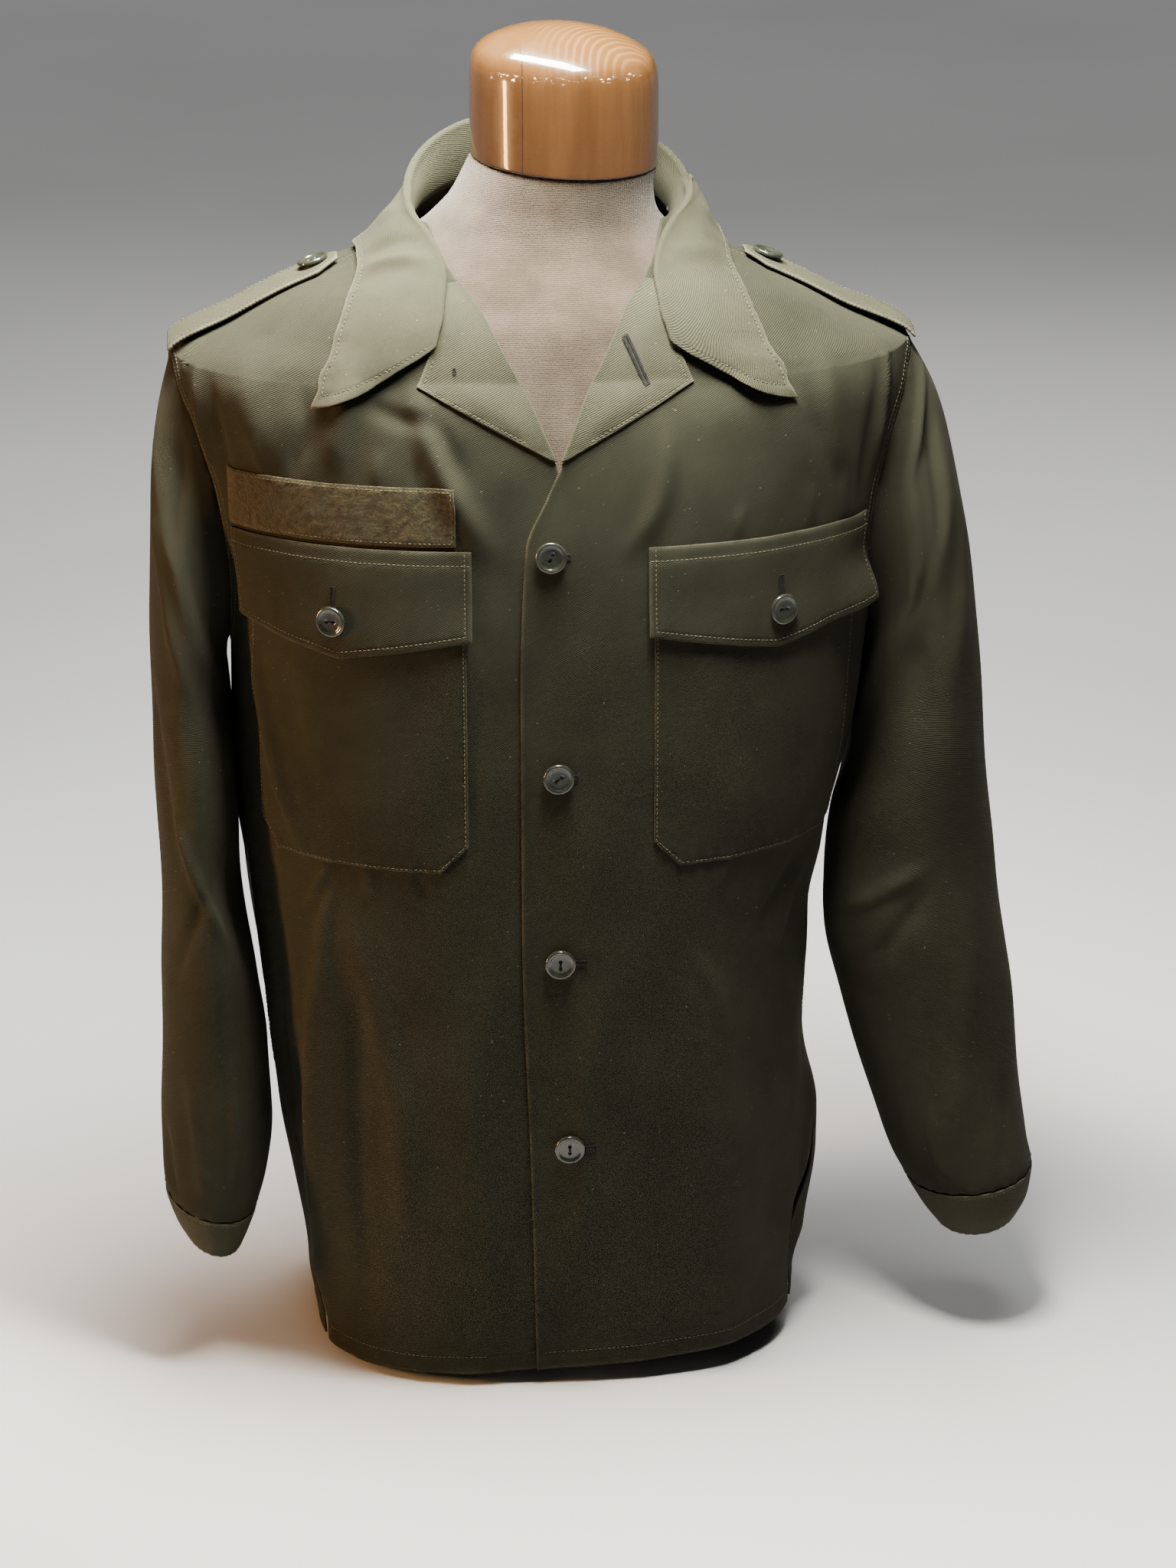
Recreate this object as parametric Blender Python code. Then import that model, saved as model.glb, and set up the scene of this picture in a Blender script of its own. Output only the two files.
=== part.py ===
"""Field shirt worn on a limbless dress form, in metres, +Z up.

The wearer's front faces -Y and the wearer's left is +X. The frame's origin is on the flat
underside of the form, below the shirt's centre line. Each cut and sewn piece is a closed wall.
"""
import math

import bmesh
import bpy
import numpy as np
from mathutils import Matrix, Vector

# ---------------------------------------------------------------- driving sizes
CLOTH = 0.0018          # wall of one layer of twill
DOUBLE = 0.0022         # wall of a faced piece: collar, flap, strap, cuff
GAP = 0.0004            # space kept at every seam
LAID = 0.0008           # space under a piece that lies on another
HEM_Z = 0.012
ARMPIT_Z = 0.505
SHOULDER_Z = 0.700
NECK_Z = 0.785
BACK_NECK_RISE = 0.012
ARMHOLE_HALF_DEPTH = 0.062
POCKET_FULLNESS = 0.003
BUTTON_RADIUS = 0.0102
BUTTON_THICK = 0.0034
CUFF_BUTTON_SCALE = 0.85
RING_STEPS = 161

# Rings of the shirt's outside. Above NECK_Z they carry only the collar.
# columns: height, wearer's left half width, right half width, front depth, back depth, squareness
BODY = np.array([
    (0.000, 0.171, 0.161, 0.135, 0.126, 3.00),
    (0.060, 0.174, 0.163, 0.140, 0.123, 2.90),
    (0.130, 0.181, 0.174, 0.146, 0.118, 2.80),
    (0.175, 0.180, 0.182, 0.149, 0.115, 2.75),
    (0.220, 0.177, 0.188, 0.151, 0.113, 2.70),
    (0.270, 0.1765, 0.1955, 0.152, 0.112, 2.65),
    (0.320, 0.178, 0.200, 0.153, 0.111, 2.60),
    (0.370, 0.1895, 0.2035, 0.1535, 0.113, 2.55),
    (0.420, 0.203, 0.2055, 0.154, 0.115, 2.50),
    (0.505, 0.216, 0.209, 0.153, 0.120, 2.40),
    (0.560, 0.219, 0.216, 0.151, 0.123, 2.40),
    (0.610, 0.227, 0.226, 0.147, 0.124, 2.35),
    (0.660, 0.238, 0.238, 0.139, 0.119, 2.30),
    (0.700, 0.2440, 0.2455, 0.127, 0.110, 2.25),
    (0.722, 0.197, 0.202, 0.116, 0.101, 2.20),
    (0.743, 0.156, 0.160, 0.102, 0.091, 2.20),
    (0.758, 0.119, 0.121, 0.089, 0.082, 2.20),
    (0.772, 0.097, 0.097, 0.077, 0.073, 2.20),
    (0.785, 0.084, 0.084, 0.068, 0.067, 2.20),
    (0.800, 0.077, 0.077, 0.062, 0.066, 2.20),
    (0.860, 0.074, 0.074, 0.060, 0.068, 2.20)])
HEM_TILT = 0.045        # rise of the hem towards the wearer's left, per metre of x

# Front edge of either front below the crossing, and the lapel's roll line above it.
# columns: height, distance past the centre line on the wearer's other side is negative
FRONT_EDGE = np.array([
    (0.000, -0.016), (0.150, -0.020), (0.350, -0.026), (0.500, -0.026), (0.600, -0.022),
    (0.633, -0.008), (0.652, 0.001), (0.700, 0.022), (0.743, 0.047), (0.765, 0.066),
    (0.800, 0.100)])

# Side seam, which swings forward below the armpit, and the vent that opens at its foot.
# columns: height, y of the seam, half opening of the vent
SIDE_SEAM = np.array([
    (0.000, -0.062, 0.0050), (0.100, -0.058, 0.0030), (0.200, -0.050, 0.0002),
    (0.400, -0.020, 0.0002), (0.505, 0.000, 0.0002)])

# Largest folds of the body: soft ridges (positive) and troughs (negative).
# columns: start s, start z, end s, end z, half width, height; s runs round from centre front
BODY_FOLDS = np.array([
    (-0.158, 0.345, -0.190, 0.060, 0.018, 0.0080),
    (-0.120, 0.330, -0.135, 0.050, 0.020, -0.0040),
    (0.100, 0.360, 0.118, 0.040, 0.022, 0.0050),
    (0.150, 0.330, 0.160, 0.090, 0.018, -0.0035),
    (-0.225, 0.300, -0.235, 0.040, 0.022, 0.0050),
    (0.222, 0.220, 0.232, 0.050, 0.018, 0.0070),
    (0.330, 0.520, 0.350, 0.030, 0.026, 0.0080),
    (-0.345, 0.480, -0.335, 0.030, 0.028, 0.0085),
    (0.420, 0.360, 0.410, 0.020, 0.026, -0.0050),
    (-0.415, 0.420, -0.405, 0.020, 0.024, 0.0050)])

# Sleeve sections, each an oval between an outer and an inner point in the XZ plane.
# columns: outer x, outer z, inner x, inner z, middle y, half depth
SLEEVE_LEFT = np.array([
    (0.2440, 0.700, 0.2160, 0.505, 0.000, 0.062),
    (0.2600, 0.670, 0.2180, 0.499, -0.001, 0.064),
    (0.2700, 0.632, 0.2175, 0.490, -0.003, 0.067),
    (0.2790, 0.590, 0.2160, 0.478, -0.006, 0.068),
    (0.2860, 0.545, 0.2140, 0.462, -0.010, 0.068),
    (0.2920, 0.495, 0.2115, 0.441, -0.014, 0.066),
    (0.2960, 0.440, 0.2075, 0.408, -0.018, 0.064),
    (0.3010, 0.385, 0.1945, 0.368, -0.022, 0.061),
    (0.3075, 0.333, 0.1885, 0.330, -0.025, 0.058),
    (0.3150, 0.283, 0.1915, 0.289, -0.029, 0.057),
    (0.3220, 0.230, 0.2020, 0.240, -0.034, 0.055),
    (0.3275, 0.175, 0.2170, 0.190, -0.041, 0.053),
    (0.3330, 0.138, 0.2330, 0.140, -0.046, 0.051),
    (0.3365, 0.116, 0.2490, 0.107, -0.049, 0.048),
    (0.3345, 0.097, 0.2610, 0.086, -0.049, 0.044),
    (0.3270, 0.080, 0.2730, 0.070, -0.047, 0.038)])
SLEEVE_RIGHT = np.array([
    (0.2455, 0.700, 0.2090, 0.505, 0.000, 0.062),
    (0.2520, 0.669, 0.2110, 0.499, -0.001, 0.065),
    (0.2560, 0.632, 0.2110, 0.490, -0.003, 0.069),
    (0.2590, 0.590, 0.2100, 0.478, -0.006, 0.072),
    (0.2610, 0.545, 0.2090, 0.462, -0.010, 0.071),
    (0.2620, 0.495, 0.2085, 0.440, -0.014, 0.070),
    (0.2625, 0.440, 0.2080, 0.405, -0.018, 0.069),
    (0.2615, 0.385, 0.2065, 0.366, -0.022, 0.068),
    (0.2610, 0.330, 0.2030, 0.320, -0.026, 0.067),
    (0.2625, 0.275, 0.1985, 0.270, -0.030, 0.066),
    (0.2645, 0.220, 0.1915, 0.220, -0.035, 0.064),
    (0.2660, 0.172, 0.1905, 0.172, -0.041, 0.060),
    (0.2660, 0.142, 0.1955, 0.132, -0.045, 0.056),
    (0.2650, 0.122, 0.2030, 0.106, -0.048, 0.051),
    (0.2600, 0.103, 0.2090, 0.089, -0.048, 0.045),
    (0.2520, 0.087, 0.2150, 0.075, -0.046, 0.038)])
SLEEVES = {1: SLEEVE_LEFT, -1: SLEEVE_RIGHT}
CUFF_ROW = 13           # section where the cuff begins
SLEEVE_SIDES = 20       # faces round a sleeve; half of them meet each panel at the armhole
SHOULDER_ROWS = (0.710, 0.720, 0.731, 0.742, 0.751, 0.759, 0.767, 0.776, NECK_Z)

# Folds round the sleeves. columns: row, turn in degrees (0 outer, 90 front, 180 inner),
# slant in degrees a row, half width in rows, half width in degrees, height
SLEEVE_FOLDS = np.array([
    (2.2, 60, 14, 0.9, 26, 0.0045),
    (4.2, 125, -10, 1.0, 30, -0.0045),
    (7.6, 150, 22, 0.7, 40, -0.0060),
    (8.7, 120, 18, 0.7, 40, 0.0045),
    (10.6, 70, -16, 0.9, 34, -0.0035),
    (11.9, 250, 12, 0.8, 34, 0.0040),
    (6.4, 240, 16, 0.9, 34, 0.0040)])

# Collar's fall from its roll line to its outer edge, wearer's left half from the centre back.
# columns: roll turn, roll z, roll lift, edge turn, edge z, edge lift; turns from centre front
COLLAR = np.array([
    (180.0, 0.832, 0.0105, 180.0, 0.758, 0.0042),
    (150.0, 0.828, 0.0105, 155.0, 0.755, 0.0042),
    (120.0, 0.815, 0.0105, 130.0, 0.753, 0.0042),
    (95.0, 0.799, 0.0100, 108.0, 0.756, 0.0040),
    (75.0, 0.788, 0.0095, 91.0, 0.759, 0.0038),
    (52.0, 0.777, 0.0085, 74.0, 0.756, 0.0036),
    (37.0, 0.765, 0.0078, 57.0, 0.747, 0.0034),
    (27.0, 0.751, 0.0072, 45.0, 0.733, 0.0032),
    (21.5, 0.737, 0.0066, 38.5, 0.711, 0.0032),
    (19.5, 0.722, 0.0062, 37.0, 0.687, 0.0034)])
COLLAR_BULGE = 0.0035
COLLAR_OPEN = (0.0110, 0.0020)   # how far its sides stand away from the neck, left and right
STAND_REACH = 100.0     # degrees of stand either side of the centre back
STAND_FLARE = 0.0062    # how far the stand leans out towards the roll line

# Lapel from the crossing upward. columns: roll s, roll z, edge s, edge z
LAPEL = np.array([
    (0.0030, 0.6560, 0.0060, 0.6572),
    (0.0115, 0.6760, 0.0360, 0.6730),
    (0.0175, 0.6900, 0.0640, 0.6880),
    (0.0235, 0.7020, 0.0880, 0.7010),
    (0.0350, 0.7220, 0.0780, 0.7220),
    (0.0480, 0.7440, 0.0850, 0.7380),
    (0.0600, 0.7570, 0.0920, 0.7500)])

# Chest pockets and flaps, in distance round from the centre front and height.
POCKET_S = (0.060, 0.216)
POCKET_Z = (0.384, 0.590)
POCKET_CHAMFER = 0.018
FLAP_S = (0.056, 0.226)
FLAP_TOP_Z = 0.600
FLAP_SIDE_Z = 0.542
FLAP_POINT_Z = 0.527
FLAP_CURL = 0.011       # lift of the wearer's left flap at its outer lower corner
TAPE_S = (0.066, 0.226)
TAPE_Z = (0.6025, 0.640)

# Shoulder straps, along x from the tip to the armhole seam.
STRAP_X = (0.132, 0.243)
STRAP_HALF = (0.020, 0.024)
STRAP_ARCH = 0.0018
STRAP_BUTTON_X = 0.147

# Buttons. columns: s, height
FRONT_BUTTONS = ((-0.006, 0.596), (-0.002, 0.449), (-0.001, 0.319), (0.005, 0.185))
POCKET_BUTTON = (0.145, 0.552)
CUFF_BUTTON = (14.0, 292.0)     # sleeve row and turn

# Dress form. columns: height, half width, front, back, squareness, middle x
FORM = np.array([
    (0.000, 0.146, 0.110, 0.101, 2.5, 0.000),
    (0.006, 0.150, 0.114, 0.105, 2.5, 0.000),
    (0.120, 0.153, 0.119, 0.103, 2.5, 0.000),
    (0.250, 0.147, 0.118, 0.095, 2.4, 0.000),
    (0.360, 0.146, 0.119, 0.093, 2.4, 0.000),
    (0.460, 0.158, 0.126, 0.099, 2.4, 0.000),
    (0.560, 0.176, 0.133, 0.107, 2.35, 0.000),
    (0.620, 0.188, 0.133, 0.109, 2.3, 0.000),
    (0.660, 0.193, 0.126, 0.104, 2.3, 0.000),
    (0.695, 0.194, 0.113, 0.094, 2.25, 0.000),
    (0.716, 0.190, 0.104, 0.087, 2.2, 0.000),
    (0.7285, 0.1762, 0.098, 0.082, 2.2, 0.000),
    (0.740, 0.1557, 0.090, 0.078, 2.2, 0.000),
    (0.7545, 0.1177, 0.079, 0.071, 2.2, 0.000),
    (0.768, 0.093, 0.069, 0.065, 2.1, 0.000),
    (0.782, 0.075, 0.063, 0.061, 2.0, 0.002),
    (0.796, 0.066, 0.060, 0.059, 2.0, 0.007),
    (0.808, 0.062, 0.059, 0.059, 2.0, 0.011),
    (0.8182, 0.0600, 0.0585, 0.0585, 2.0, 0.015)])
CAP_X = 0.015
CAP_LEAN = 0.060        # fall of the cap's rings towards +X
CAP_DIP = 0.030         # fall of its lower edge towards the front
# columns: height, radius
CAP = np.array([
    (0.8186, 0.0600), (0.8195, 0.0606), (0.848, 0.0609), (0.8735, 0.0604), (0.8805, 0.0584),
    (0.8855, 0.0550), (0.8890, 0.0505), (0.8975, 0.0370), (0.9030, 0.0200), (0.9050, 0.0080)])

# ---------------------------------------------------------------- finishes
TWILL = ("olive_twill", (0.050, 0.052, 0.036), 0.80)
TWILL_FACED = ("olive_twill_faced", (0.060, 0.062, 0.044), 0.78)
TAPE = ("loop_tape", (0.090, 0.070, 0.040), 0.95)
BUTTON = ("dark_green_button", (0.020, 0.026, 0.020), 0.22)
JERSEY = ("white_jersey", (0.720, 0.690, 0.640), 0.92)
WOOD = ("varnished_wood", (0.430, 0.150, 0.040), 0.18)


def finish(spec):
    """Principled material for a (name, colour, roughness) row, made once."""
    name, colour, roughness = spec
    material = bpy.data.materials.get(name)
    if material is None:
        material = bpy.data.materials.new(name)
        material.use_nodes = True
        shader = material.node_tree.nodes["Principled BSDF"]
        shader.inputs["Base Color"].default_value = (*colour, 1.0)
        shader.inputs["Roughness"].default_value = roughness
        shader.inputs["Metallic"].default_value = 0.0
    return material


# ---------------------------------------------------------------- curves and surfaces
def smooth(at, table, column):
    """Monotone cubic through one column of a table against its first column."""
    xs = table[:, 0]
    ys = table[:, column]
    step = np.diff(xs)
    slope = np.diff(ys) / step
    tangent = np.zeros(len(xs))
    before, after = slope[:-1], slope[1:]
    weight_a = 2 * step[1:] + step[:-1]
    weight_b = step[1:] + 2 * step[:-1]
    same = before * after > 0
    safe_before = np.where(same, before, 1.0)
    safe_after = np.where(same, after, 1.0)
    mean = (weight_a + weight_b) / (weight_a / safe_before + weight_b / safe_after)
    tangent[1:-1] = np.where(same, mean, 0.0)
    tangent[0], tangent[-1] = slope[0], slope[-1]
    at = np.clip(at, xs[0], xs[-1])
    i = np.clip(np.searchsorted(xs, at) - 1, 0, len(xs) - 2)
    t = (at - xs[i]) / step[i]
    return ((2 * t**3 - 3 * t**2 + 1) * ys[i] + (t**3 - 2 * t**2 + t) * step[i] * tangent[i]
            + (3 * t**2 - 2 * t**3) * ys[i + 1] + (t**3 - t**2) * step[i] * tangent[i + 1])


def ramp(value, start, end):
    """0 before start, 1 after end, eased between."""
    t = np.clip((value - start) / (end - start), 0.0, 1.0)
    return t * t * (3 - 2 * t)


def unit(vectors):
    return vectors / np.linalg.norm(vectors, axis=-1, keepdims=True)


def half_ring(z, side):
    """x, y and arc length round one half of the shirt's rings at heights z, in x of its own
    side (1 wearer's left, -1 right), from the centre front to the centre back."""
    left, right, front, back, power = (smooth(z, BODY, k)[:, None] for k in range(1, 6))
    width = np.where(np.broadcast_to(side, z.shape)[:, None] > 0, left, right)
    turn = np.linspace(0.0, np.pi, RING_STEPS)[None, :]
    depth = np.where(turn < np.pi / 2, front, back)
    x = width * np.abs(np.sin(turn)) ** (2 / power)
    y = -depth * np.sign(np.cos(turn)) * np.abs(np.cos(turn)) ** (2 / power)
    steps = np.hypot(np.diff(x, axis=1), np.diff(y, axis=1))
    arc = np.concatenate([np.zeros((len(z), 1)), np.cumsum(steps, axis=1)], axis=1)
    return x, y, arc


def look_up(values, knots, at):
    """Row by row linear interpolation of values against rising knots."""
    i = np.clip(np.sum(knots < at[:, None], axis=1) - 1, 0, knots.shape[1] - 2)[:, None]
    k0, k1 = np.take_along_axis(knots, i, 1), np.take_along_axis(knots, i + 1, 1)
    v0, v1 = np.take_along_axis(values, i, 1), np.take_along_axis(values, i + 1, 1)
    t = np.clip((at[:, None] - k0) / np.maximum(k1 - k0, 1e-9), 0.0, 1.0)
    return (v0 + (v1 - v0) * t)[:, 0]


def half_girth(z, side):
    """Arc length from the centre front to the centre back."""
    return half_ring(z, side)[2][:, -1]


def arc_at_y(z, y, side):
    """Arc length from the centre front to where the ring reaches depth y."""
    _, ring_y, arc = half_ring(z, side)
    return look_up(arc, ring_y, y)


def arc_at_turn(z, degrees, side):
    """Arc length from the centre front to a turn of the ring, for arrays of one shape."""
    arc = half_ring(z.ravel(), side.ravel())[2]
    knots = np.broadcast_to(np.linspace(0.0, 180.0, RING_STEPS)[None, :], arc.shape)
    return look_up(arc, knots, degrees.ravel()).reshape(z.shape)


def on_ring(s, z):
    """Point of the shirt's rings at arc length s (negative to -X) and height z."""
    side = np.where(s < 0, -1.0, 1.0)
    x, y, arc = half_ring(z, side)
    return np.stack([side * look_up(x, arc, np.abs(s)), look_up(y, arc, np.abs(s)), z], 1)


def ridges(s, z, table):
    """Sum of the folds: each a soft ridge along a straight line in s and z."""
    total = np.zeros(s.shape)
    for s0, z0, s1, z1, half, height in table:
        length = np.hypot(s1 - s0, z1 - z0)
        along = ((s - s0) * (s1 - s0) + (z - z0) * (z1 - z0)) / length**2
        across = ((s - s0) * (z1 - z0) - (z - z0) * (s1 - s0)) / length
        total += height * np.exp(-(across / half) ** 2) * ramp(along, 0.0, 0.35) \
            * (1 - ramp(along, 0.95, 1.15))
    return total


def body(s, z, lift):
    """Shirt's surface at (s, z), folds included, moved out by lift. Arrays of one shape."""
    shape = np.broadcast(s, z, lift).shape
    s, z, lift = (np.broadcast_to(v, shape).ravel().astype(float) for v in (s, z, lift))
    h = 0.001
    across = on_ring(s + h, z) - on_ring(s - h, z)
    up = on_ring(s, z + h) - on_ring(s, z - h)
    normal = unit(np.cross(across, up))
    out = lift + ridges(s, z, BODY_FOLDS)
    points = on_ring(s, z) + normal * out[:, None]
    points[:, 2] += HEM_TILT * points[:, 0] * (1 - ramp(z, 0.0, 0.25))
    return points.reshape(*shape, 3)


def shoulder(x, y, lift, side):
    """Top of one side's shoulder at (x, y), found by halving on the rings, moved up by lift."""
    low = np.full(x.shape, SHOULDER_Z)
    high = np.full(x.shape, 0.800)
    for _ in range(30):
        z = (low + high) / 2
        left, right, front, back, power = (smooth(z, BODY, k) for k in range(1, 6))
        width = left if side > 0 else right
        depth = np.where(y < 0, front, back)
        inside = np.abs(x / width) ** power + np.abs(y / depth) ** power < 1
        low, high = np.where(inside, z, low), np.where(inside, high, z)
    return np.stack([x, y, z + lift], -1)


def arm_depth(z):
    """Half depth of the armhole at height z."""
    middle = (ARMPIT_Z + SHOULDER_Z) / 2
    half = (SHOULDER_Z - ARMPIT_Z) / 2
    return ARMHOLE_HALF_DEPTH * np.sqrt(np.clip(1 - ((z - middle) / half) ** 2, 0.0, 1.0))


def mirrored(points, side):
    return points * np.array([side, 1.0, 1.0])


def grid(rows, columns):
    return np.meshgrid(np.linspace(0, 1, rows + 1), np.linspace(0, 1, columns + 1), indexing="ij")


# ---------------------------------------------------------------- mesh makers
def add_mesh(name, points, faces, spec):
    """Closed mesh of points and faces, turned to face outwards, as an object."""
    mesh = bpy.data.meshes.new(name)
    mesh.from_pydata([tuple(p) for p in points], [], faces)
    work = bmesh.new()
    work.from_mesh(mesh)
    if work.calc_volume(signed=True) < 0:
        bmesh.ops.reverse_faces(work, faces=work.faces)
    bmesh.ops.triangulate(work, faces=work.faces)
    work.to_mesh(mesh)
    work.free()
    mesh.shade_smooth()
    mesh.set_sharp_from_angle(angle=math.radians(50))
    mesh.materials.append(finish(spec))
    thing = bpy.data.objects.new(name, mesh)
    bpy.context.scene.collection.objects.link(thing)
    return thing


def wall(name, outer, inner, spec, around=False):
    """Closed wall between two point grids (rows, columns, 3); around joins the columns."""
    rows, columns = outer.shape[:2]
    size = rows * columns
    points = np.concatenate([outer.reshape(-1, 3), inner.reshape(-1, 3)])

    def at(layer, i, j):
        return layer * size + i * columns + j % columns

    spans = columns if around else columns - 1
    faces = []
    for i in range(rows - 1):
        for j in range(spans):
            faces.append((at(0, i, j), at(0, i, j + 1), at(0, i + 1, j + 1), at(0, i + 1, j)))
            faces.append((at(1, i, j), at(1, i + 1, j), at(1, i + 1, j + 1), at(1, i, j + 1)))
    for j in range(spans):
        end = rows - 1
        faces.append((at(0, 0, j), at(1, 0, j), at(1, 0, j + 1), at(0, 0, j + 1)))
        faces.append((at(0, end, j), at(0, end, j + 1), at(1, end, j + 1), at(1, end, j)))
    if not around:
        for i in range(rows - 1):
            end = columns - 1
            faces.append((at(0, i, 0), at(0, i + 1, 0), at(1, i + 1, 0), at(1, i, 0)))
            faces.append((at(0, i, end), at(1, i, end), at(1, i + 1, end), at(0, i + 1, end)))
    return add_mesh(name, points, faces, spec)


def solid(name, rings, spec):
    """Closed solid through point rings (rings, points, 3) with a flat face at each end."""
    count, around = rings.shape[:2]
    faces = [tuple(range(around)), tuple((count - 1) * around + j for j in range(around))[::-1]]
    for i in range(count - 1):
        for j in range(around):
            k = (j + 1) % around
            faces.append((i * around + j, (i + 1) * around + j, (i + 1) * around + k, i * around + k))
    return add_mesh(name, rings.reshape(-1, 3), faces, spec)


# ---------------------------------------------------------------- body panels
def panel_heights():
    """Row heights: even below the armpit, cosine-spaced round the armhole, even above."""
    low = np.linspace(HEM_Z, ARMPIT_Z, 15)
    middle, half = (ARMPIT_Z + SHOULDER_Z) / 2, (SHOULDER_Z - ARMPIT_Z) / 2
    hole = middle - half * np.cos(np.linspace(0, np.pi, SLEEVE_SIDES // 2 + 1))
    return np.concatenate([low, hole[1:], SHOULDER_ROWS])


def side_edge(z, front, side):
    """Arc length of a panel's side: side seam or vent, armhole, then shoulder seam."""
    seam_y = np.where(z < ARMPIT_Z, smooth(z, SIDE_SEAM, 1), 0.0)
    opening = np.where(z < ARMPIT_Z, smooth(z, SIDE_SEAM, 2), GAP / 2)
    hole = np.where((z > ARMPIT_Z) & (z < SHOULDER_Z), arm_depth(z), 0.0)
    if front:
        return arc_at_y(z, seam_y - hole, side) - opening
    return arc_at_y(z, seam_y + hole, side) + opening


def front_panel(side):
    """Front of one side, from its front edge and roll line to the side, 12 cells across."""
    z = panel_heights()
    inner_edge = smooth(z, FRONT_EDGE, 1)
    outer_edge = side_edge(z, True, side)
    across = np.linspace(0, 1, 13)[None, :]
    s = inner_edge[:, None] + (outer_edge - inner_edge)[:, None] * across
    height = np.broadcast_to(z[:, None], s.shape)
    under = 0.0
    if side < 0:
        under = -(CLOTH + LAID) * (1 - ramp(s, 0.030, 0.050))
    name = "front_left" if side > 0 else "front_right"
    wall(name, body(side * s, height, under), body(side * s, height, under - CLOTH), TWILL)


def back_panel():
    """Back from side to side through the centre back, its neckline raised in the middle."""
    z = panel_heights()
    w = np.linspace(-1, 1, 17)[None, :]
    rise = BACK_NECK_RISE * ramp(z, 0.745, NECK_Z)
    height = z[:, None] + rise[:, None] * (1 - w**2)
    side = np.where(w < 0, -1.0, 1.0) + np.zeros(height.shape)
    share = np.where(w < 0, (side_edge(z, False, -1) / half_girth(z, -1))[:, None],
                     (side_edge(z, False, 1) / half_girth(z, 1))[:, None])
    girth = half_girth(height.ravel(), side.ravel()).reshape(height.shape)
    s = side * girth * (1 - (1 - share) * np.abs(w))
    wall("back", body(s, height, 0.0), body(s, height, -CLOTH), TWILL)


# ---------------------------------------------------------------- sleeves
def sleeve_relief(row, turn):
    total = np.zeros(row.shape)
    for at_row, at_turn, slant, rows, degrees, height in SLEEVE_FOLDS:
        off_row = (row - at_row) / rows
        centre = at_turn + slant * (row - at_row)
        off_turn = (np.degrees(turn) - centre + 180) % 360 - 180
        total += height * np.exp(-off_row**2 - (off_turn / degrees) ** 2)
    return total


def armhole_loop(turn, side):
    """Armhole's edge of one side and the body's outward normal along it, in x of that side."""
    middle, half = (ARMPIT_Z + SHOULDER_Z) / 2, (SHOULDER_Z - ARMPIT_Z) / 2
    z = middle + half * np.cos(turn)
    y = -ARMHOLE_HALF_DEPTH * np.sin(turn)
    s = side * arc_at_y(z, y, side)
    at = mirrored(body(s, z, 0.0), side)
    return at, unit(mirrored(body(s, z, 0.001), side) - at)


def sleeve_surface(side, row, turn):
    """Outer surface of one sleeve, in x of its side, at a row and a turn of one shape."""
    table = SLEEVES[side]
    rows = np.column_stack([np.arange(len(table)), table])
    top_x, top_z, low_x, low_z, mid_y, deep = (smooth(row, rows, k) for k in range(1, 7))
    x = (top_x + low_x) / 2 + np.cos(turn) * (top_x - low_x) / 2
    z = (top_z + low_z) / 2 + np.cos(turn) * (top_z - low_z) / 2
    y = mid_y - np.sin(turn) * deep
    points = np.stack([x, y, z], -1)
    loop, _ = armhole_loop(turn[0], side)
    first = table[0]
    oval = np.stack([(first[0] + first[2]) / 2 + np.cos(turn[0]) * (first[0] - first[2]) / 2,
                     first[4] - np.sin(turn[0]) * first[5],
                     (first[1] + first[3]) / 2 + np.cos(turn[0]) * (first[1] - first[3]) / 2], -1)
    return points + (loop - oval)[None] * (1 - ramp(row, 0.0, 2.5))[..., None]


def tube_normals(points):
    """Outward normals of a tube grid whose columns close."""
    along = np.gradient(points, axis=0)
    round_ = np.roll(points, -1, axis=1) - np.roll(points, 1, axis=1)
    normal = unit(np.cross(along, round_))
    middle = points.mean(axis=1, keepdims=True)
    flip = np.sign(np.sum(normal * (points - middle), axis=-1).mean(axis=1))
    return normal * flip[:, None, None]


def sleeve_grid(side, first, last, cells):
    """Outer points, normals and turns of a stretch of one sleeve, in x of its side."""
    turn = np.linspace(0, 2 * np.pi, SLEEVE_SIDES + 1)[:-1]
    row = np.linspace(first, last, cells + 1)
    row, turn = np.meshgrid(row, turn, indexing="ij")
    points = sleeve_surface(side, row, turn)
    normal = tube_normals(points)
    fade = ramp(row, 0.0, 1.2) * (1 - ramp(row, CUFF_ROW - 0.8, CUFF_ROW))
    points = points + normal * (sleeve_relief(row, turn) * fade)[..., None]
    return points, normal, turn[0]


def sleeve(side):
    """Sleeve from the armhole seam to the cuff; its first edge meets the panels' edges."""
    points, normal, turn = sleeve_grid(side, 0, CUFF_ROW - 0.02, 15)
    loop, out = armhole_loop(turn, side)
    tangent = unit(np.roll(loop, -1, axis=0) - np.roll(loop, 1, axis=0))
    into_hole = unit(np.cross(out, tangent))
    centre = loop.mean(axis=0)
    into_hole *= np.sign(np.sum(into_hole * (centre - loop), axis=1))[:, None]
    points[0] = loop + into_hole * 1.5 * GAP
    inset = -CLOTH * normal
    back_step = np.sum(inset[0] * into_hole, axis=1)
    inset[0] += into_hole * np.maximum(0.0, -back_step)[:, None]
    name = "sleeve_left" if side > 0 else "sleeve_right"
    wall(name, mirrored(points, side), mirrored(points + inset, side), TWILL, around=True)


def cuff(side):
    """Band at the sleeve's end, a little proud of it."""
    points, normal, _ = sleeve_grid(side, CUFF_ROW + 0.02, len(SLEEVES[side]) - 1, 3)
    outer = points + normal * GAP
    name = "cuff_left" if side > 0 else "cuff_right"
    wall(name, mirrored(outer, side), mirrored(outer - normal * DOUBLE, side), TWILL_FACED,
         around=True)


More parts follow.
